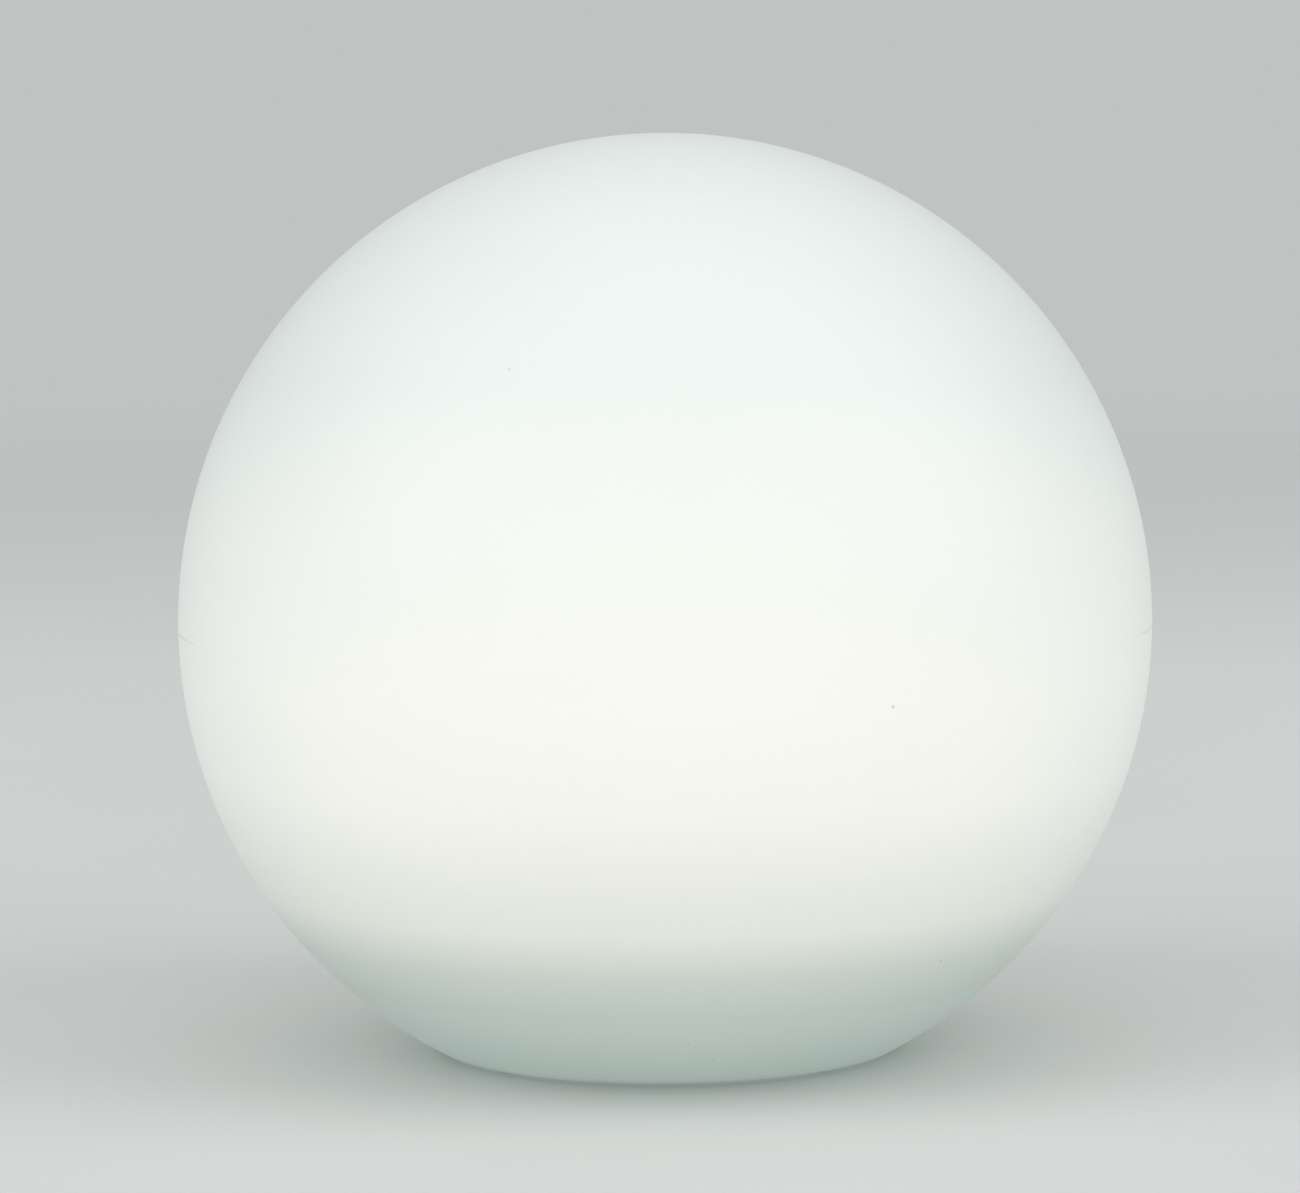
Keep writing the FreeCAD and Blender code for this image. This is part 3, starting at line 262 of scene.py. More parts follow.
def makeWorld():
    world = bpy.data.worlds.new("studioSky")
    world.use_nodes = True
    bpy.context.scene.world = world
    sky = Finish("sky", world.node_tree)
    seen = sky.node("LightPath", output="Is Camera Ray")
    seen = seen.orMore(seen.beside("Is Glossy Ray")).orMore(seen.beside("Is Transmission Ray"))
    glow = sky.node("Background", sockets={"Color": studio["sky"], "Strength": studio["skyStrength"]})
    wall = sky.node("Background", sockets={"Color": studio["backdrop"], "Strength": 1.0})
    both = sky.node("MixShader", sockets={0: seen, 1: glow, 2: wall})
    sky.node("OutputWorld", sockets={"Surface": both})


def makeFloor(spec):
    finish = Finish("paleFloor")
    place = finish.place()
    cloudScale, cloudShare = spec["cloud"]
    speckleScale, speckleShare = spec["speckle"]
    speckle = finish.noise(place, speckleScale, 4, 0.6)
    cloud = finish.noise(place, cloudScale, 2)
    away = finish.node("VectorMath", {"operation": "LENGTH"}, {0: place}, output="Value")
    tone = spec["tone"] + cloudShare * cloud + speckleShare * speckle
    # painted shade: the floor's colour is darker near the globe
    tone = tone - spec["nearPaintedShade"] * away.below(*spec["near"])
    paint = finish.node("BsdfPrincipled", sockets={
        "Base Color": finish.mix(1.0, spec["colour"], tone, "MULTIPLY"),
        "Roughness": spec["roughness"] + spec["glossDrift"] * cloud,
        "Specular IOR Level": spec["specular"],
        "Normal": finish.bump(speckle, *spec["relief"]),
    })
    fadeStart, fadeEnd = spec["fade"]
    gone = 1 - away.below((fadeStart + fadeEnd) / 2, (fadeEnd - fadeStart) / 2)
    unseen = 1 - finish.node("LightPath", output="Is Camera Ray")
    lightWell = away.below(spec["under"], 0.5 * mm) * unseen
    fromBelow = finish.node("NewGeometry", output="Backfacing")
    clear = gone.orMore(lightWell).orMore(fromBelow)
    material = finish.end(finish.node("MixShader", sockets={
        0: clear, 1: paint, 2: finish.node("BsdfTransparent")}))
    shape = bmesh.new()
    turned(shape, [(radius, -spec["drop"]) for radius in spec["rings"]], spec["segments"])
    mesh = finishMesh("studioFloor", shape, material)
    if mesh.polygons[0].normal.z < 0:
        mesh.flip_normals()
    floor = bpy.data.objects.new("studioFloor", mesh)
    bpy.context.scene.collection.objects.link(floor)


def makeLamps():
    for name, lamp in studio["lamps"].items():
        light = bpy.data.lights.new(name, "AREA")
        light.shape = "DISK"
        light.size = lamp["size"]
        light.energy = lamp["power"]
        holder = bpy.data.objects.new(name, light)
        bpy.context.scene.collection.objects.link(holder)
        holder.location = lamp["spot"]
        aim = globeCentre - Vector(lamp["spot"])
        holder.rotation_mode = "QUATERNION"
        holder.rotation_quaternion = aim.to_track_quat("-Z", "Y")


# mesh helpers
weldGap = 0.0005 * mm       # points closer than this are one point
leastBend = 0.02 * mm


def turned(shape, profile, segments, centre=(0, 0), swell=None):
    # lathes (radius, height) pairs about a vertical line; swell adds to the radius by angle and height
    rings = []
    for radius, height in profile:
        if radius < weldGap:
            rings.append([shape.verts.new((*centre, height))])
            continue
        ring = []
        for step in range(segments):
            angle = 2 * math.pi * step / segments
            reach = radius + (swell(angle, height) if swell else 0)
            spot = (centre[0] + reach * math.cos(angle), centre[1] + reach * math.sin(angle), height)
            ring.append(shape.verts.new(spot))
        rings.append(ring)
    for one, other in zip(rings, rings[1:]):
        for step in range(segments):
            after = (step + 1) % segments
            corners = [one[step % len(one)], other[step % len(other)],
                       other[after % len(other)], one[after % len(one)]]
            corners = list(dict.fromkeys(corners))
            if len(corners) > 2:
                shape.faces.new(corners)


def arc(across, up, radius, first, last, steps):
    # points on a circle of the outline's plane, angles in degrees
    angles = [math.radians(first + (last - first) * step / steps) for step in range(steps + 1)]
    return [(across + radius * math.cos(angle), up + radius * math.sin(angle)) for angle in angles]


def rounded(corners, steps=5):
    # (across, up, rounding) corners as an outline with arcs in them
    outline = []
    for index, (across, up, rounding) in enumerate(corners):
        here = Vector((across, up))
        if not rounding:
            outline.append(here)
            continue
        back = (Vector(corners[index - 1][:2]) - here).normalized()
        ahead = (Vector(corners[(index + 1) % len(corners)][:2]) - here).normalized()
        half = back.angle(ahead) / 2
        middle = here + (back + ahead).normalized() * (rounding / math.sin(half))
        start = here + back * (rounding / math.tan(half)) - middle
        finish = here + ahead * (rounding / math.tan(half)) - middle
        sweep = start.angle(finish)
        for step in range(steps + 1):
            share = step / steps
            spot = start * math.sin((1 - share) * sweep) + finish * math.sin(share * sweep)
            outline.append(middle + spot / math.sin(sweep))
    return [tuple(spot) for spot in outline]


def joined(shape, rings):
    # skin over rings of equally many points, closed at both ends
    for one, other in zip(rings, rings[1:]):
        for step in range(len(one)):
            after = (step + 1) % len(one)
            shape.faces.new([one[step], one[after], other[after], other[step]])
    shape.faces.new(rings[0])
    shape.faces.new(rings[-1])


def circled(radius, count, first=0):
    # spots evenly round the globe's axis, from an angle in degrees
    turns = [math.radians(first + 360 * index / count) for index in range(count)]
    return [(radius * math.cos(turn), radius * math.sin(turn)) for turn in turns]


def slab(shape, middle, length, width, low, high, corner, edge, steps=4):
    # flat bar with rounded corners and rounded top and bottom edges
    def ring(height, inset):
        x, y = length / 2 - inset, width / 2 - inset
        bend = max(corner - inset, leastBend)
        plan = rounded([(-x, -y, bend), (x, -y, bend), (x, y, bend), (-x, y, bend)], steps)
        return [shape.verts.new((middle[0] + a, middle[1] + b, height)) for a, b in plan]

    levels = [(low + edge * (1 - math.cos(t)), edge * (1 - math.sin(t)))
              for t in [math.pi / 2 * step / steps for step in range(steps + 1)]]
    levels += [(high - edge * (1 - math.cos(t)), edge * (1 - math.sin(t)))
               for t in [math.pi / 2 * step / steps for step in range(steps, -1, -1)]]
    joined(shape, [ring(*level) for level in levels])


def finishMesh(name, shape, material, sharp=32):
    bmesh.ops.remove_doubles(shape, verts=shape.verts, dist=weldGap)
    bmesh.ops.recalc_face_normals(shape, faces=shape.faces)
    mesh = bpy.data.meshes.new(name)
    shape.to_mesh(mesh)
    shape.free()
    mesh.shade_smooth()
    mesh.set_sharp_from_angle(angle=math.radians(sharp))
    mesh.materials.append(material)
    return mesh


def addPiece(name, mesh, body, node, bend=None):
    # with bend given, the piece is only baked where it stands and not attached to the body; its start and
    # end points are not used
    piece = bpy.data.objects.new(name, mesh)
    bpy.context.scene.collection.objects.link(piece)
    if bend:
        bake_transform(piece)
    else:
        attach(piece, body)
    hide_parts(node)


makeWorld()
makeFloor(studio["floor"])
makeLamps()
print("studio made")


# the finishes

# light from inside, by height in metres: even above the lamp's own level, weak under it; painted contact
# shade in the last millimetres at the floor
globeFinish = {
    "plastic": (0.62, 0.63, 0.62),
    "glowAndContactShadeByHeight": [
        # painted contact shade: the lowest stop darkens the glow where the globe meets the floor
        (0.0004, (0.10, 0.12, 0.10)),
        (0.0018, (0.37, 0.42, 0.36)),
        (0.015, (0.34, 0.39, 0.33)),
        (0.036, (0.33, 0.37, 0.30)),
        (0.052, (0.39, 0.42, 0.335)),
        (0.070, (0.60, 0.58, 0.48)),
        (0.120, (0.73, 0.68, 0.58)),
        (0.160, (0.72, 0.67, 0.57)),
        (0.220, (0.63, 0.61, 0.52)),
        (0.280, (0.50, 0.505, 0.445)),
        (0.377, (0.53, 0.515, 0.45)),
    ],
    "fixed": {"IOR": 1.5, "Specular IOR Level": 0.35, "Coat Weight": 1.0, "Coat Roughness": 0.4,
              "Coat IOR": 1.2, "Coat Tint": (0.765, 0.79, 0.812), "Emission Strength": 1.0},
    "roughness": 0.52,
    "glossDrift": 0.10,         # how far the clouds of pigment change it
    "evenShade": 0.985,
    "wave": (9, 0.03),          # slow changes of the wall's thickness: scale, share in the shade
    "cloud": (81, 0.012),       # uneven pigment
    "grain": (1100, 0.06),      # fine pits of the wall, about 1 mm
    "peelScale": 620,           # orange peel of the mould's inside
    "relief": (0.16, 0.12 * mm),
    "grainRelief": 0.35,        # beside the peel's 1
    "poreRelief": 1.5,
    "poreScale": 34,            # one pore at most in each cell of 30 mm
    "poreSize": 0.45 * mm,
    "poreChance": 0.22,
    "poreDark": 0.25,
    # painted shade: a darker line along the parting ridge, at the globe's sides only
    "seamPaintedShade": 0.14,
    "seamShadeLine": (0.55 * mm, 0.3 * mm),      # half width and softness of the painted shade line
    "seamShadeSides": (0.955, 0.03),             # share of the radius outside which the painted shade shows: the globe's sides
    "scuff": (45, 0.18),        # scale, and the roughness that it adds
    "scuffHeight": 20 * mm,     # the foot is rubbed rougher below this
    "specks": [                 # the pores that show in the photograph
        ((0.0855, -0.1800, 0.1600), 0.7 * mm),
        ((0.0078, -0.1266, 0.0224), 0.5 * mm),
        ((0.0176, -0.1141, 0.0137), 0.5 * mm),
        ((0.1070, -0.1142, 0.0524), 0.6 * mm),
        ((0.1088, -0.0811, 0.0301), 0.6 * mm),
    ],
}


def poresOf(finish, place, spec):
    # random pores, and the ones whose places are known
    cell = finish.node("TexVoronoi", sockets={"Vector": place, "Scale": spec["poreScale"]},
                       output="Distance")
    chance = finish.node("SeparateColor", sockets={"Color": cell.beside("Color")})
    pores = cell.below(spec["poreSize"] * spec["poreScale"], 0.006)
    pores = pores * chance.below(spec["poreChance"], 0.001)
    for spot, size in spec["specks"]:
        away = finish.node("VectorMath", {"operation": "DISTANCE"}, {0: place, 1: spot}, output="Value")
        pores = pores.orMore(away.below(size, size * 0.5))
    return pores


def seamShadeOf(finish, place, height, spec):
    # painted shade of the ridge: 1 on the parting line, at the globe's sides only
    offSeam = (height - (globeCentre.z - globe["seamDrop"])).unsigned()
    side = finish.node("SeparateXYZ", sockets={"Vector": place}, output="X").unsigned() / globe["radius"]
    return offSeam.below(*spec["seamShadeLine"]) * (1 - side.below(*spec["seamShadeSides"]))


def globeMaterial(spec):
    finish = Finish("globePolyethylene")
    place = finish.place()
    height = finish.height(place)
    top = globeHigh.z
    stops = [(level / top, colour) for level, colour in spec["glowAndContactShadeByHeight"]]
    glow = finish.node("ValToRGB", {"stops": stops}, {"Fac": height / top})
    (waveScale, waveShare), (cloudScale, cloudShare) = spec["wave"], spec["cloud"]
    grainScale, grainShare = spec["grain"]
    thickness = finish.noise(place, waveScale, 2)
    cloud = finish.noise(place, cloudScale, 3)
    peel = finish.noise(place, spec["peelScale"], 2, 0.4)
    grain = finish.noise(place, grainScale, 2, 0.6)
    pores = poresOf(finish, place, spec)
    line = seamShadeOf(finish, place, height, spec)
    shade = spec["evenShade"] + waveShare * thickness
    shade = shade + cloudShare * (cloud - 0.5) + grainShare * (grain - 0.5)
    # the seam's painted shade darkens base colour and glow together
    shade = shade * (1 - spec["poreDark"] * pores) * (1 - spec["seamPaintedShade"] * line)
    scuffScale, scuffShare = spec["scuff"]
    scuff = finish.noise(place, scuffScale, 5, 0.7)
    nearFoot = height.below(spec["scuffHeight"], spec["scuffHeight"])
    gloss = spec["roughness"] + spec["glossDrift"] * (cloud - 0.5) + scuffShare * scuff * nearFoot
    relief = peel + spec["grainRelief"] * grain - spec["poreRelief"] * pores
    sockets = {
        "Base Color": finish.mix(1.0, spec["plastic"], shade, "MULTIPLY"),
        "Roughness": gloss,
        "Emission Color": finish.mix(1.0, glow, shade, "MULTIPLY"),
        "Normal": finish.bump(relief, *spec["relief"]),
    }
    sockets.update(spec["fixed"])
    return finish.end(finish.node("BsdfPrincipled", sockets=sockets))


# what each slot of the record looks like: colours and how far they drift, gloss, and the surface's grain
finishes = {
    "silicone": {"colour": (0.56, 0.57, 0.56), "drift": (0.46, 0.47, 0.46), "driftScale": 140,
                 "roughness": (0.42, 0.60), "grain": "noise", "grainScale": 1800, "relief": 0.12,
                 "fixed": {"Specular IOR Level": 0.4}},
    "dark_rubber": {"colour": (0.020, 0.020, 0.022), "drift": (0.042, 0.042, 0.043), "driftScale": 220,
                    "roughness": (0.52, 0.72), "grain": "noise", "grainScale": 2600, "relief": 0.25,
                    "fixed": {"Specular IOR Level": 0.35}},
    "white_abs": {"colour": (0.76, 0.77, 0.755), "drift": (0.62, 0.635, 0.62), "driftScale": 34,
                  "roughness": (0.44, 0.60), "grain": "voronoi", "grainScale": 1500, "relief": 0.5,
                  "fixed": {}},
    "grey_button": {"colour": (0.20, 0.215, 0.22), "drift": (0.17, 0.18, 0.185), "driftScale": 160,
                    "roughness": (0.34, 0.46), "grain": "noise", "grainScale": 2400, "relief": 0.10,
                    "fixed": {}},
    "screw_steel": {"colour": (0.60, 0.60, 0.595), "drift": (0.46, 0.46, 0.455), "driftScale": 380,
                    "roughness": (0.24, 0.42), "grain": "wave", "grainScale": 900, "relief": 0.10,
                    "fixed": {"Metallic": 1.0}},
    "insert_brass": {"colour": (0.72, 0.52, 0.22), "drift": (0.58, 0.40, 0.15), "driftScale": 300,
                     "roughness": (0.26, 0.40), "grain": "wave", "grainScale": 700, "relief": 0.5,
                     "fixed": {"Metallic": 1.0}},
    "green_board": {"colour": (0.012, 0.110, 0.040), "drift": (0.030, 0.190, 0.075), "driftScale": 60,
                    "roughness": (0.22, 0.34), "grain": "tracks", "grainScale": 240, "relief": 0.3,
                    "fixed": {"Coat Weight": 0.3, "Coat Roughness": 0.2}},
    "white_board": {"colour": (0.76, 0.77, 0.76), "drift": (0.70, 0.71, 0.70), "driftScale": 50,
                    "roughness": (0.26, 0.38), "grain": "tracks", "grainScale": 120, "relief": 0.3,
                    "fixed": {}},
    "cell_sleeve": {"colour": (0.020, 0.170, 0.260), "drift": (0.012, 0.130, 0.210), "driftScale": 40,
                    "roughness": (0.18, 0.30), "grain": "noise", "grainScale": 260, "relief": 0.15,
                    "fixed": {"Coat Weight": 0.4, "Coat Roughness": 0.15}},
    "nickel": {"colour": (0.66, 0.64, 0.58), "drift": (0.54, 0.52, 0.47), "driftScale": 160,
               "roughness": (0.22, 0.38), "grain": "wave", "grainScale": 1300, "relief": 0.12,
               "fixed": {"Metallic": 1.0}},
    "grey_foam": {"colour": (0.065, 0.066, 0.072), "drift": (0.095, 0.096, 0.10), "driftScale": 120,
                  "roughness": (0.80, 0.92), "grain": "voronoi", "grainScale": 900, "relief": 0.8,
                  "fixed": {}},
    "red_wire": {"colour": (0.46, 0.012, 0.010), "drift": (0.36, 0.010, 0.008), "driftScale": 150,
                 "roughness": (0.30, 0.42), "grain": "noise", "grainScale": 1500, "relief": 0.08,
                 "fixed": {}},
    "black_wire": {"colour": (0.012, 0.012, 0.012), "drift": (0.022, 0.022, 0.022), "driftScale": 150,
                   "roughness": (0.30, 0.42), "grain": "noise", "grainScale": 1500, "relief": 0.08,
                   "fixed": {}},
    "clear_plastic": {"colour": (0.95, 0.97, 0.97), "drift": (0.90, 0.93, 0.93), "driftScale": 60,
                      "roughness": (0.04, 0.10), "grain": "noise", "grainScale": 300, "relief": 0.03,
                      "fixed": {"Transmission Weight": 1.0, "IOR": 1.49}},
    "black_plastic": {"colour": (0.016, 0.016, 0.017), "drift": (0.026, 0.026, 0.027),
                      "driftScale": 120, "roughness": (0.40, 0.55), "grain": "voronoi",
                      "grainScale": 1800, "relief": 0.18, "fixed": {}},
    "frosted_pipe": {"colour": (0.84, 0.86, 0.86), "drift": (0.78, 0.80, 0.80), "driftScale": 90,
                     "roughness": (0.34, 0.48), "grain": "noise", "grainScale": 1500, "relief": 0.08,
                     "fixed": {"Transmission Weight": 0.45, "IOR": 1.49}},
    "natural_nylon": {"colour": (0.70, 0.66, 0.54), "drift": (0.62, 0.58, 0.46), "driftScale": 180,
                      "roughness": (0.34, 0.48), "grain": "noise", "grainScale": 1600, "relief": 0.10,
                      "fixed": {"Specular IOR Level": 0.5}},
    "thermal_grey": {"colour": (0.20, 0.23, 0.28), "drift": (0.26, 0.29, 0.34), "driftScale": 240,
                     "roughness": (0.62, 0.78), "grain": "noise", "grainScale": 1200, "relief": 0.25,
                     "fixed": {}},
    "phosphor": {"colour": (0.80, 0.62, 0.12), "drift": (0.86, 0.72, 0.26), "driftScale": 500,
                 "roughness": (0.16, 0.26), "grain": "noise", "grainScale": 2400, "relief": 0.10,
                 "fixed": {}},
    "can_metal": {"colour": (0.66, 0.67, 0.69), "drift": (0.54, 0.55, 0.57), "driftScale": 200,
                  "roughness": (0.24, 0.36), "grain": "wave", "grainScale": 1500, "relief": 0.10,
                  "fixed": {"Metallic": 1.0}},
}
grainInColour = 0.35
reliefDepth = 0.1 * mm


def grainOf(finish, place, kind, scale):
    if kind == "voronoi":
        return finish.node("TexVoronoi", {"feature": "SMOOTH_F1"}, {"Vector": place, "Scale": scale})
    if kind == "wave":
        return finish.node("TexWave", {"wave_type": "RINGS", "rings_direction": "Z"}, {
            "Vector": place, "Scale": scale, "Distortion": 6.0, "Detail": 2.0})
    if kind == "tracks":
        return finish.node("TexVoronoi", {"feature": "DISTANCE_TO_EDGE", "distance": "MANHATTAN"},
                           {"Vector": place, "Scale": scale}).below(0.08, 0.02)
    return finish.noise(place, scale, 3, 0.55)


def slotMaterial(name, spec):
    finish = Finish(name)
    place = finish.place()
    drift = finish.noise(place, spec["driftScale"], 3)
    grain = grainOf(finish, place, spec["grain"], spec["grainScale"])
    blended = (1 - grainInColour) * drift + grainInColour * grain
    share = grain if spec["grain"] == "tracks" else blended
    least, most = spec["roughness"]
    sockets = {
        "Base Color": finish.mix(share, spec["colour"], spec["drift"]),
        "Roughness": least + (most - least) * drift,
        "Normal": finish.bump(grain, spec["relief"], reliefDepth),
    }
    sockets.update(spec["fixed"])
    return finish.end(finish.node("BsdfPrincipled", sockets=sockets))


materials = {slot: slotMaterial(slot, spec) for slot, spec in finishes.items()}
materials["globe_polyethylene"] = globeMaterial(globeFinish)
slotOf = {row["node"]: row["material_slot"] for row in frame["record"]["subparts"]}
ownFinish = {"charge_light_pipe": "frosted_pipe"}      # clear plastic with a matt end
for node, holder in frame["nodes"].items():
    holder.data.materials.clear()
    holder.data.materials.append(materials[ownFinish.get(node, slotOf[node])])
print("finishes made:", len(materials))


# the moulded globe
def outsideTurns(spec, lowest):
    # angles of the rings from the crown down, with closer rings over the parting ridge
    middle, apart, foot, margin = globeCentre.z, 0.3, spec["ridgeFoot"], spec["ridgeMargin"]
    rows = [middle - spec["seamDrop"] + spec["seamHalfWidth"] * share
            for share in (margin, foot, 1, 0, -1, -foot, -margin)]
    ridge = [math.degrees(math.asin((row - middle) / spec["radius"])) for row in rows]
    count = math.ceil((90 - lowest - 0.5) / spec["ringStep"])
    plain = [90 - spec["ringStep"] * index for index in range(count)]
    plain = [turn for turn in plain if turn > ridge[0] + apart or turn < ridge[-1] - apart]
    return sorted(plain + ridge, reverse=True)


def globeProfile(spec):
    # once round the moulding's section: outside, foot, lip, recess, opening and inside
    radius, wall, middle, foot = spec["radius"], spec["wall"], globeCentre.z, globeLow.z
    bend = spec["footRound"]
    bendAcross = math.sqrt((radius - bend) ** 2 - (middle - foot - bend) ** 2)
    bendStart = math.degrees(math.atan2(foot + bend - middle, bendAcross))
    outside = [(radius * math.cos(math.radians(turn)), middle + radius * math.sin(math.radians(turn)))
               for turn in outsideTurns(spec, bendStart)]
    outside[0] = (0, middle + radius)
    footArc = arc(bendAcross, foot + bend, bend, bendStart, -90, 10)
    recess, roof, lip = spec["recessRadius"], spec["roofHeight"], spec["lipRound"]
    lipArc = arc(recess + lip, foot + lip, lip, -90, -180, 5)
    opening, roofTop, floorTop = spec["openingRadius"], roof + wall, foot + wall
    under = [(recess, roof), (opening, roof), (opening, roofTop)]
    under += arc(recess + wall - lip, roofTop - lip, lip, 90, 0, 5)
    under += [(recess + wall, floorTop)]
    innerRadius = radius - wall
    innerFoot = math.sqrt(innerRadius ** 2 - (middle - floorTop) ** 2)
    innerStart = math.degrees(math.atan2(floorTop - middle, innerFoot))
    inside = arc(0, middle, innerRadius, innerStart, 90, 60)
    inside[-1] = (0, middle + innerRadius)
    return outside + footArc + lipArc + under + inside


def seamSwell(angle, height):
    # the moulding ridge stands proudest at the sides, where the mould's halves meet least evenly
    away = abs(height - (globeCentre.z - globe["seamDrop"])) / globe["seamHalfWidth"]
    if away > globe["ridgeFoot"]:
        return 0
    sideways = abs(math.cos(angle)) ** globe["seamFalloff"]
    share = globe["seamLeast"] + (1 - globe["seamLeast"]) * sideways
    return globe["seamProud"] * share * min(1, (globe["ridgeFoot"] - away) / (globe["ridgeFoot"] - 1))


# bosses on the recess's roof, inside the globe, with the pockets of the threaded inserts
boss = {"count": 6, "ring": 69 * mm, "radius": 6 * mm, "rise": 8 * mm, "round": 0.8 * mm, "root": 1 * mm,
        "pocket": 3.2 * mm, "tipRadius": 2.2 * mm, "tipRoom": 1.6 * mm}


def addBosses(shape, spec):
    roofTop = globe["roofHeight"] + globe["wall"]
    root, top = roofTop - spec["root"], roofTop + spec["rise"]
    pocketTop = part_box("threaded_inserts")[1].z
    tipTop = pocketTop + spec["tipRoom"]
    outline = rounded([
        (spec["pocket"], root, 0), (spec["radius"], root, 0), (spec["radius"], top, spec["round"]),
        (0, top, 0), (0, tipTop, 0), (spec["tipRadius"], tipTop, 0), (spec["tipRadius"], pocketTop, 0),
        (spec["pocket"], pocketTop, 0), (spec["pocket"], root, 0),
    ], 4)
    for spot in circled(spec["ring"], spec["count"]):
        turned(shape, outline, 48, spot)


shape = bmesh.new()
turned(shape, globeProfile(globe), globe["segments"], swell=seamSwell)
addBosses(shape, boss)
addPiece("globeSkin", finishMesh("globeSkin", shape, materials["globe_polyethylene"], 40),
         "globe", "globe_shell")
print("globe made")


# the silicone feet, with a grip ring and a rim that stand proud of their face
footPad = {"radius": 6 * mm, "ring": 86 * mm, "count": 4, "first": 45, "round": 0.5 * mm,
           "groove": 0.3 * mm, "gripRing": (1.8 * mm, 3.1 * mm), "rimInside": 4.3 * mm,
           "slope": 0.3 * mm, "fine": 0.1 * mm}


def makeFeet(spec):
    low, high = (corner.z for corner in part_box("foot_pads"))
    deep, slope, fine = low + spec["groove"], spec["slope"], spec["fine"]
    gripInside, gripOutside = spec["gripRing"]
    outline = rounded([
        (0, deep, 0), (gripInside - slope, deep, fine), (gripInside, low, fine),
        (gripOutside, low, fine), (gripOutside + slope, deep, fine),
        (spec["rimInside"] - slope, deep, fine), (spec["rimInside"], low, fine),
        (spec["radius"], low, spec["round"]), (spec["radius"], high, fine), (0, high, 0),
    ], 3)
    shape = bmesh.new()
    for spot in circled(spec["ring"], spec["count"], spec["first"]):
        turned(shape, outline, 48, spot)
    addPiece("footPads", finishMesh("footPads", shape, materials["silicone"]), "globe",
             "foot_pads")


makeFeet(footPad)


# screws with a rounded pan head and a cross drive
screws = {
    "flange_screws": {"name": "flangeScrews", "count": 6, "ring": 69 * mm, "head": 4 * mm,
                      "rise": 2.4 * mm, "shank": 2 * mm, "slot": 1.0 * mm},
    "housing_screws": {"name": "housingScrews", "count": 4, "ring": 46.5 * mm, "head": 2.75 * mm,
                       "rise": 2.0 * mm, "shank": 1.5 * mm, "slot": 0.8 * mm},
}
# shares of the head's radius and height, and how the drives are turned from screw to screw
screwHead = {"flat": 0.66, "shoulder": 0.9, "shoulderRise": 0.12, "shoulderRound": 0.2,
             "widest": 0.55, "widestRound": 0.1, "arm": 0.58, "floor": 0.55, "depth": 0.6,
             "tip": 0.5, "tipRadius": 0.6, "firstTurn": 0.4, "nextTurn": 1.1, "segments": 48}


def crossPlan(arm, half):
    return [(arm, half), (half, half), (half, arm), (-half, arm), (-half, half), (-arm, half),
            (-arm, -half), (-half, -half), (-half, -arm), (half, -arm), (half, -half), (arm, -half)]


def addScrew(shape, spot, low, tip, spec, form, turn):
    # the head looks down; its flat is filled around the cross, and the cross sinks to a smaller one
    head, rise, shank, segments = spec["head"], spec["rise"], spec["shank"], form["segments"]
    dome = rounded([(head * form["flat"], low, 0),
                    (head * form["shoulder"], low + rise * form["shoulderRise"],
                     head * form["shoulderRound"]),
                    (head, low + rise * form["widest"], rise * form["widestRound"]),
                    (head, low + rise, 0)], 4)
    rest = [(shank, low + rise), (shank, tip - shank * form["tip"]), (shank * form["tipRadius"], tip),
            (0, tip)]
    before = len(shape.verts)
    turned(shape, dome + rest, segments, spot)
    shape.verts.ensure_lookup_table()
    rim = [shape.verts[before + step] for step in range(segments)]
    plan = crossPlan(head * form["arm"], spec["slot"] / 2)
    cosine, sine = math.cos(turn), math.sin(turn)

    def cross(scale, height):
        return [shape.verts.new((spot[0] + scale * (a * cosine - b * sine),
                                 spot[1] + scale * (a * sine + b * cosine), height)) for a, b in plan]

    mouth, floor = cross(1, low), cross(form["floor"], low + rise * form["depth"])
    edges = [shape.edges.get((rim[step], rim[(step + 1) % segments])) for step in range(segments)]
    sides = [(step, (step + 1) % len(plan)) for step in range(len(plan))]
    edges += [shape.edges.new((mouth[here], mouth[after])) for here, after in sides]
    bmesh.ops.triangle_fill(shape, edges=edges, use_beauty=True)
    for here, after in sides:
        shape.faces.new([mouth[here], mouth[after], floor[after], floor[here]])
    shape.faces.new(floor)


for node, spec in screws.items():
    low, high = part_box(node)
    shape = bmesh.new()
    for index, spot in enumerate(circled(spec["ring"], spec["count"])):
        turn = screwHead["firstTurn"] + screwHead["nextTurn"] * index
        addScrew(shape, spot, low.z, high.z, spec, screwHead, turn)
    addPiece(spec["name"], finishMesh(spec["name"], shape, materials["screw_steel"]), "globe",
             node)
print("feet and screws made")


# the push button: a dished cap with a raised ring, on its stem
button = {"dish": 4.4 * mm, "depth": 0.4 * mm, "edge": 0.6 * mm, "headHeight": 4 * mm, "stem": 3 * mm,
          "clip": (6.4 * mm, 7.2 * mm), "clipDepth": 0.6 * mm, "ring": 2.2 * mm, "ringWire": 0.22 * mm,
          "ringLevel": 0.75, "dishSteps": 8}


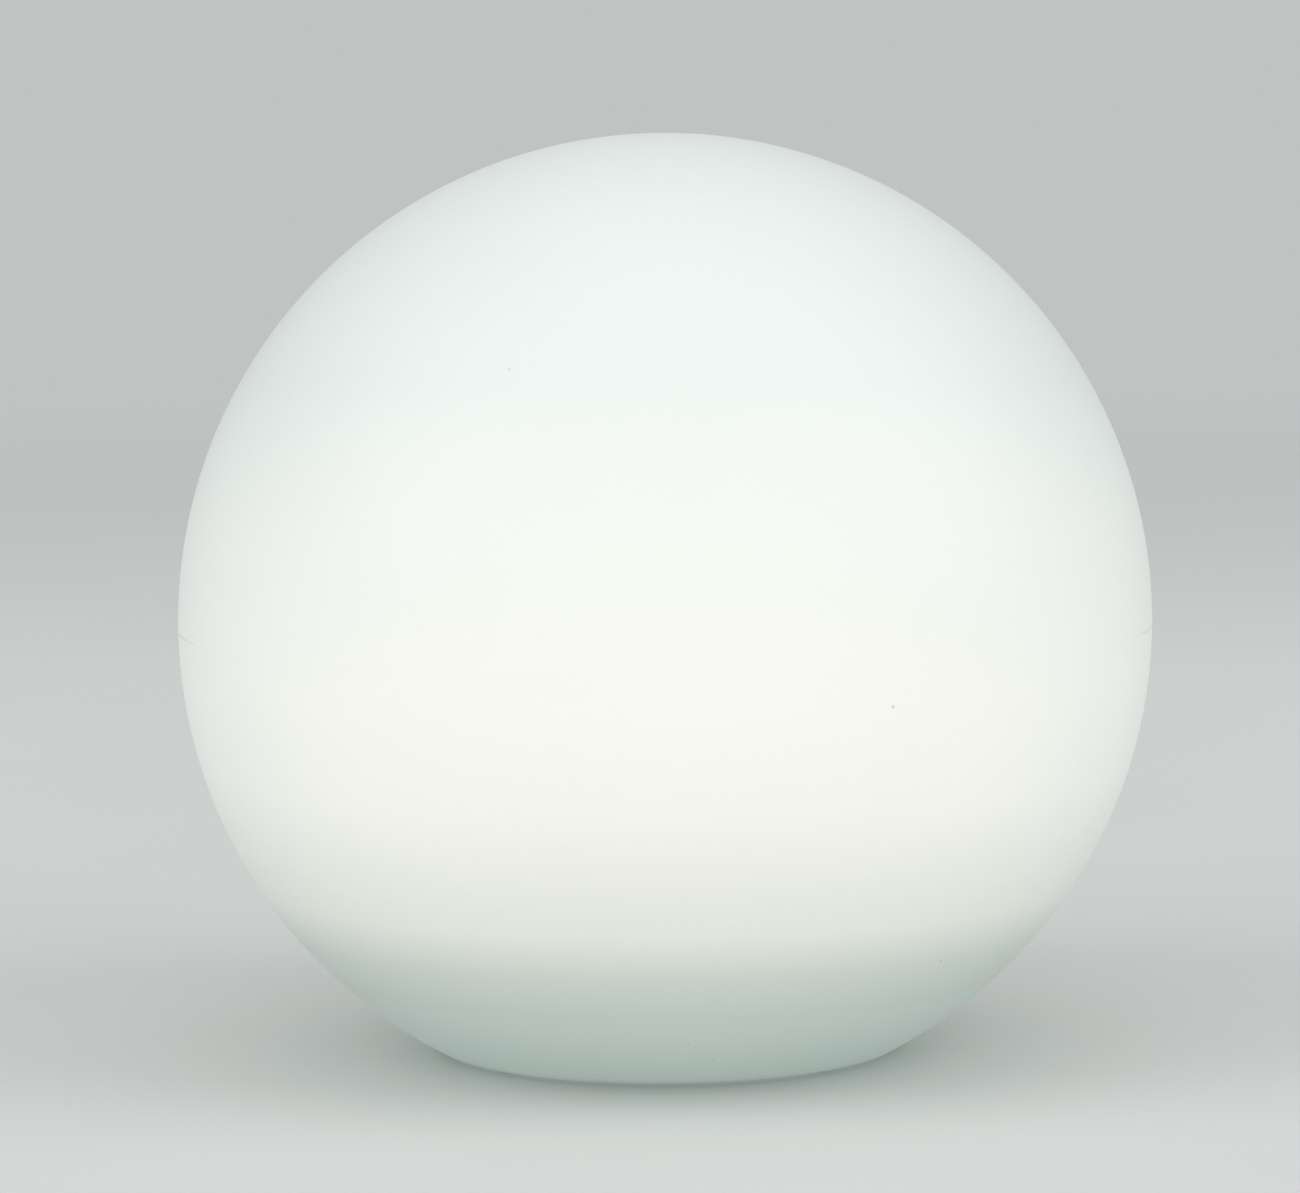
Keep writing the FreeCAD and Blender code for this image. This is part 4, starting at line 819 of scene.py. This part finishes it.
def makeButton(spec):
    low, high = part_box("button_cap")
    centre = ((low.x + high.x) / 2, (low.y + high.y) / 2)
    radius, base = (high.x - low.x) / 2, low.z
    shares = [step / spec["dishSteps"] for step in range(spec["dishSteps"] + 1)]
    dish = [(spec["dish"] * share, base + spec["depth"] * (1 - share ** 2)) for share in shares]
    clipLow, clipHigh = (base + level for level in spec["clip"])
    groove, headTop = spec["stem"] - spec["clipDepth"], base + spec["headHeight"]
    rest = rounded([
        (spec["dish"] + 0.15 * mm, base, 0), (radius, base, spec["edge"]), (radius, headTop, 0.2 * mm),
        (spec["stem"], headTop, 0.3 * mm), (spec["stem"], clipLow, 0), (groove, clipLow, 0),
        (groove, clipHigh, 0), (spec["stem"], clipHigh, 0), (spec["stem"], high.z, 0.2 * mm),
        (0, high.z, 0),
    ], 5)
    shape = bmesh.new()
    turned(shape, dish + rest, 72, centre)
    ring = arc(spec["ring"], base + spec["depth"] * spec["ringLevel"], spec["ringWire"], -180, 180, 16)
    turned(shape, ring, 56, centre)
    addPiece("buttonCap", finishMesh("buttonCap", shape, materials["grey_button"]), "button",
             "button_cap")


# the rubber boot: a hub that goes with the stem, a thin wall, and a rim under the ring
boot = {"bore": 3.05 * mm, "hub": 4.8 * mm, "foot": 5.4 * mm, "skin": 0.8 * mm, "wallTop": 5.6 * mm,
        "crest": 7.4 * mm, "rim": 10.5 * mm, "rimThick": 1.5 * mm, "clipGap": 0.05 * mm,
        "round": 0.25 * mm}


def makeBoot(spec):
    low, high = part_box("button_boot")
    centre = ((low.x + high.x) / 2, (low.y + high.y) / 2)
    clipLow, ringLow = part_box("button_clip")[0].z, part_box("boot_ring")[0].z
    hubTop, rimLow, bottom, top = clipLow - spec["clipGap"], ringLow - spec["rimThick"], low.z, high.z
    bore, hub, skin, bend = spec["bore"], spec["hub"], spec["skin"], spec["round"]
    wallTop, crest, rim = spec["wallTop"], spec["crest"], spec["rim"]
    middle = (wallTop + crest) / 2
    pieces = {
        "bootHub": ("button", None, [
            (bore, bottom, 0), (hub, bottom, bend), (hub, hubTop, bend), (bore, hubTop, 0)]),
        "bootWall": ("button", ((*centre, top), (*centre, bottom + skin / 2)), [
            (hub - skin / 2, bottom + 0.02 * mm, 0), (spec["foot"], bottom + 0.02 * mm, bend),
            (spec["foot"], bottom + skin, bend), (wallTop + skin / 4, top - skin, bend),
            (middle, top - skin, 0), (middle, top, 0), (wallTop, top, bend),
            (hub - skin / 4, hubTop, bend), (hub - skin / 2, hubTop, 0)]),
        "bootRim": ("globe", None, [
            (middle - skin / 4, top - skin, 0), (crest - skin * 0.75, top - skin, bend),
            (crest, rimLow, bend), (rim, rimLow, bend), (rim, ringLow, bend),
            (crest + skin * 0.95, ringLow, bend), (crest, top, bend), (middle - skin / 4, top, 0)]),
    }
    for name, (body, ends, outline) in pieces.items():
        shape = bmesh.new()
        turned(shape, rounded(outline + outline[:1], 4), 72, centre)
        addPiece(name, finishMesh(name, shape, materials["dark_rubber"]), body,
                 "button_boot", bend=ends)


makeButton(button)
makeBoot(boot)


# the rubber socket cover, its strap and the strap's anchor
cover = {"radius": 8 * mm, "middleY": -8 * mm, "edge": 0.7 * mm, "backRound": 0.2 * mm,
         "recess": 5.0 * mm, "recessDepth": 0.25 * mm, "recessSlope": 0.3 * mm,
         "plugRadius": 4.8 * mm, "plugTaper": 0.4 * mm, "plugRound": 0.5 * mm, "strapWidth": 6 * mm,
         "into": 0.8,               # share of the disc's radius to which lug and tab reach
         "sink": 0.1 * mm,          # lug and tab lie this much under the disc's back
         "lugRound": (0.3 * mm, 0.2 * mm), "tabLow": 0.6 * mm, "tabRound": (1.6 * mm, 0.45 * mm),
         "ribs": 3, "firstRib": 0.9 * mm, "ribPitch": 0.75 * mm, "ribWidth": 0.34 * mm,
         "ribLength": 0.62, "ribLevels": (0.35 * mm, 1.2 * mm), "ribRound": (0.16 * mm, 0.12 * mm)}
strap = {"endShare": 0.9, "waist": 0.80, "thin": 0.66, "cornerShare": 0.7, "steps": 36,
         "intoCover": 0.9 * mm, "intoAnchor": 2.4 * mm}
anchor = {"radius": 4 * mm, "headRound": 0.9 * mm, "peg": 2 * mm, "barb": 0.6 * mm,
          "pegHeight": 4 * mm, "tipShare": 0.6}


def makeCover(spec):
    low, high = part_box("socket_cover")
    strapLow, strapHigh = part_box("cover_strap")
    x, top, base = (low.x + high.x) / 2, strapHigh.z, low.z
    back = top - spec["sink"]
    radius, plug, recess = spec["radius"], spec["plugRadius"], spec["recess"]
    recessTop = base + spec["recessDepth"]
    shape = bmesh.new()
    turned(shape, rounded([
        (0, recessTop, 0), (recess, recessTop, 0.15 * mm), (recess + spec["recessSlope"], base, 0.2 * mm),
        (radius, base, spec["edge"]), (radius, top, spec["backRound"]), (plug, top, 0.15 * mm),
        (plug - spec["plugTaper"], high.z, spec["plugRound"]), (0, high.z, 0),
    ], 5), 96, (x, spec["middleY"]))
    width, into = spec["strapWidth"], radius * spec["into"]
    lugNear, lugFar = spec["middleY"] + into, high.y
    slab(shape, (x, (lugNear + lugFar) / 2), width, lugFar - lugNear, strapLow.z - spec["sink"], back,
         *spec["lugRound"])
    tabNear, tabFar = low.y, spec["middleY"] - into
    slab(shape, (x, (tabNear + tabFar) / 2), width, tabFar - tabNear, base + spec["tabLow"], back,
         *spec["tabRound"])
    ribLow, ribHigh = (base + level for level in spec["ribLevels"])
    for rib in range(spec["ribs"]):
        y = tabNear + spec["firstRib"] + spec["ribPitch"] * rib
        slab(shape, (x, y), width * spec["ribLength"], spec["ribWidth"], ribLow, ribHigh,
             *spec["ribRound"], 3)
    addPiece("socketCover", finishMesh("socketCover", shape, materials["dark_rubber"]), "cover",
             "socket_cover")


def makeStrap(spec):
    # a flat strap with a thinner, narrower middle
    low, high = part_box("cover_strap")
    centre, half = (low + high) / 2, (high - low) / 2
    near, far = low.y - spec["intoCover"], high.y + spec["intoAnchor"]
    shape = bmesh.new()
    rings = []
    for step in range(spec["steps"] + 1):
        y = near + (far - near) * step / spec["steps"]
        pull = max(0, 1 - ((y - centre.y) / half.y) ** 2)
        width = half.x * (1 - (1 - spec["waist"]) * pull)
        thick = half.z * (spec["endShare"] - (spec["endShare"] - spec["thin"]) * pull)
        bend = thick * spec["cornerShare"]
        plan = rounded([(-width, -thick, bend), (width, -thick, bend), (width, thick, bend),
                        (-width, thick, bend)], 4)
        rings.append([shape.verts.new((centre.x + a, y, centre.z + b)) for a, b in plan])
    joined(shape, rings)
    ends = (centre.x, high.y, centre.z), (centre.x, low.y, centre.z)
    addPiece("coverStrap", finishMesh("coverStrap", shape, materials["dark_rubber"]), "cover",
             "cover_strap", bend=ends)


def makeAnchor(spec):
    low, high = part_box("cover_anchor")
    centre = ((low.x + high.x) / 2, (low.y + high.y) / 2)
    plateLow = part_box("base_plate")[0].z
    plateTop = plateLow + spec["pegHeight"]
    shape = bmesh.new()
    turned(shape, rounded([
        (0, low.z, 0), (spec["radius"], low.z, spec["headRound"]), (spec["radius"], plateLow, 0.1 * mm),
        (spec["peg"], plateLow, 0), (spec["peg"], plateTop, 0),
        (spec["peg"] + spec["barb"], plateTop, 0.15 * mm),
        (spec["peg"] * spec["tipShare"], high.z, 0.3 * mm), (0, high.z, 0),
    ], 5), 64, centre)
    addPiece("coverAnchor", finishMesh("coverAnchor", shape, materials["dark_rubber"]), "globe",
             "cover_anchor")


makeCover(cover)
makeStrap(strap)
makeAnchor(anchor)
print("button, boot, cover, strap and anchor made")

bpy.context.scene.view_settings.view_transform = "Standard"
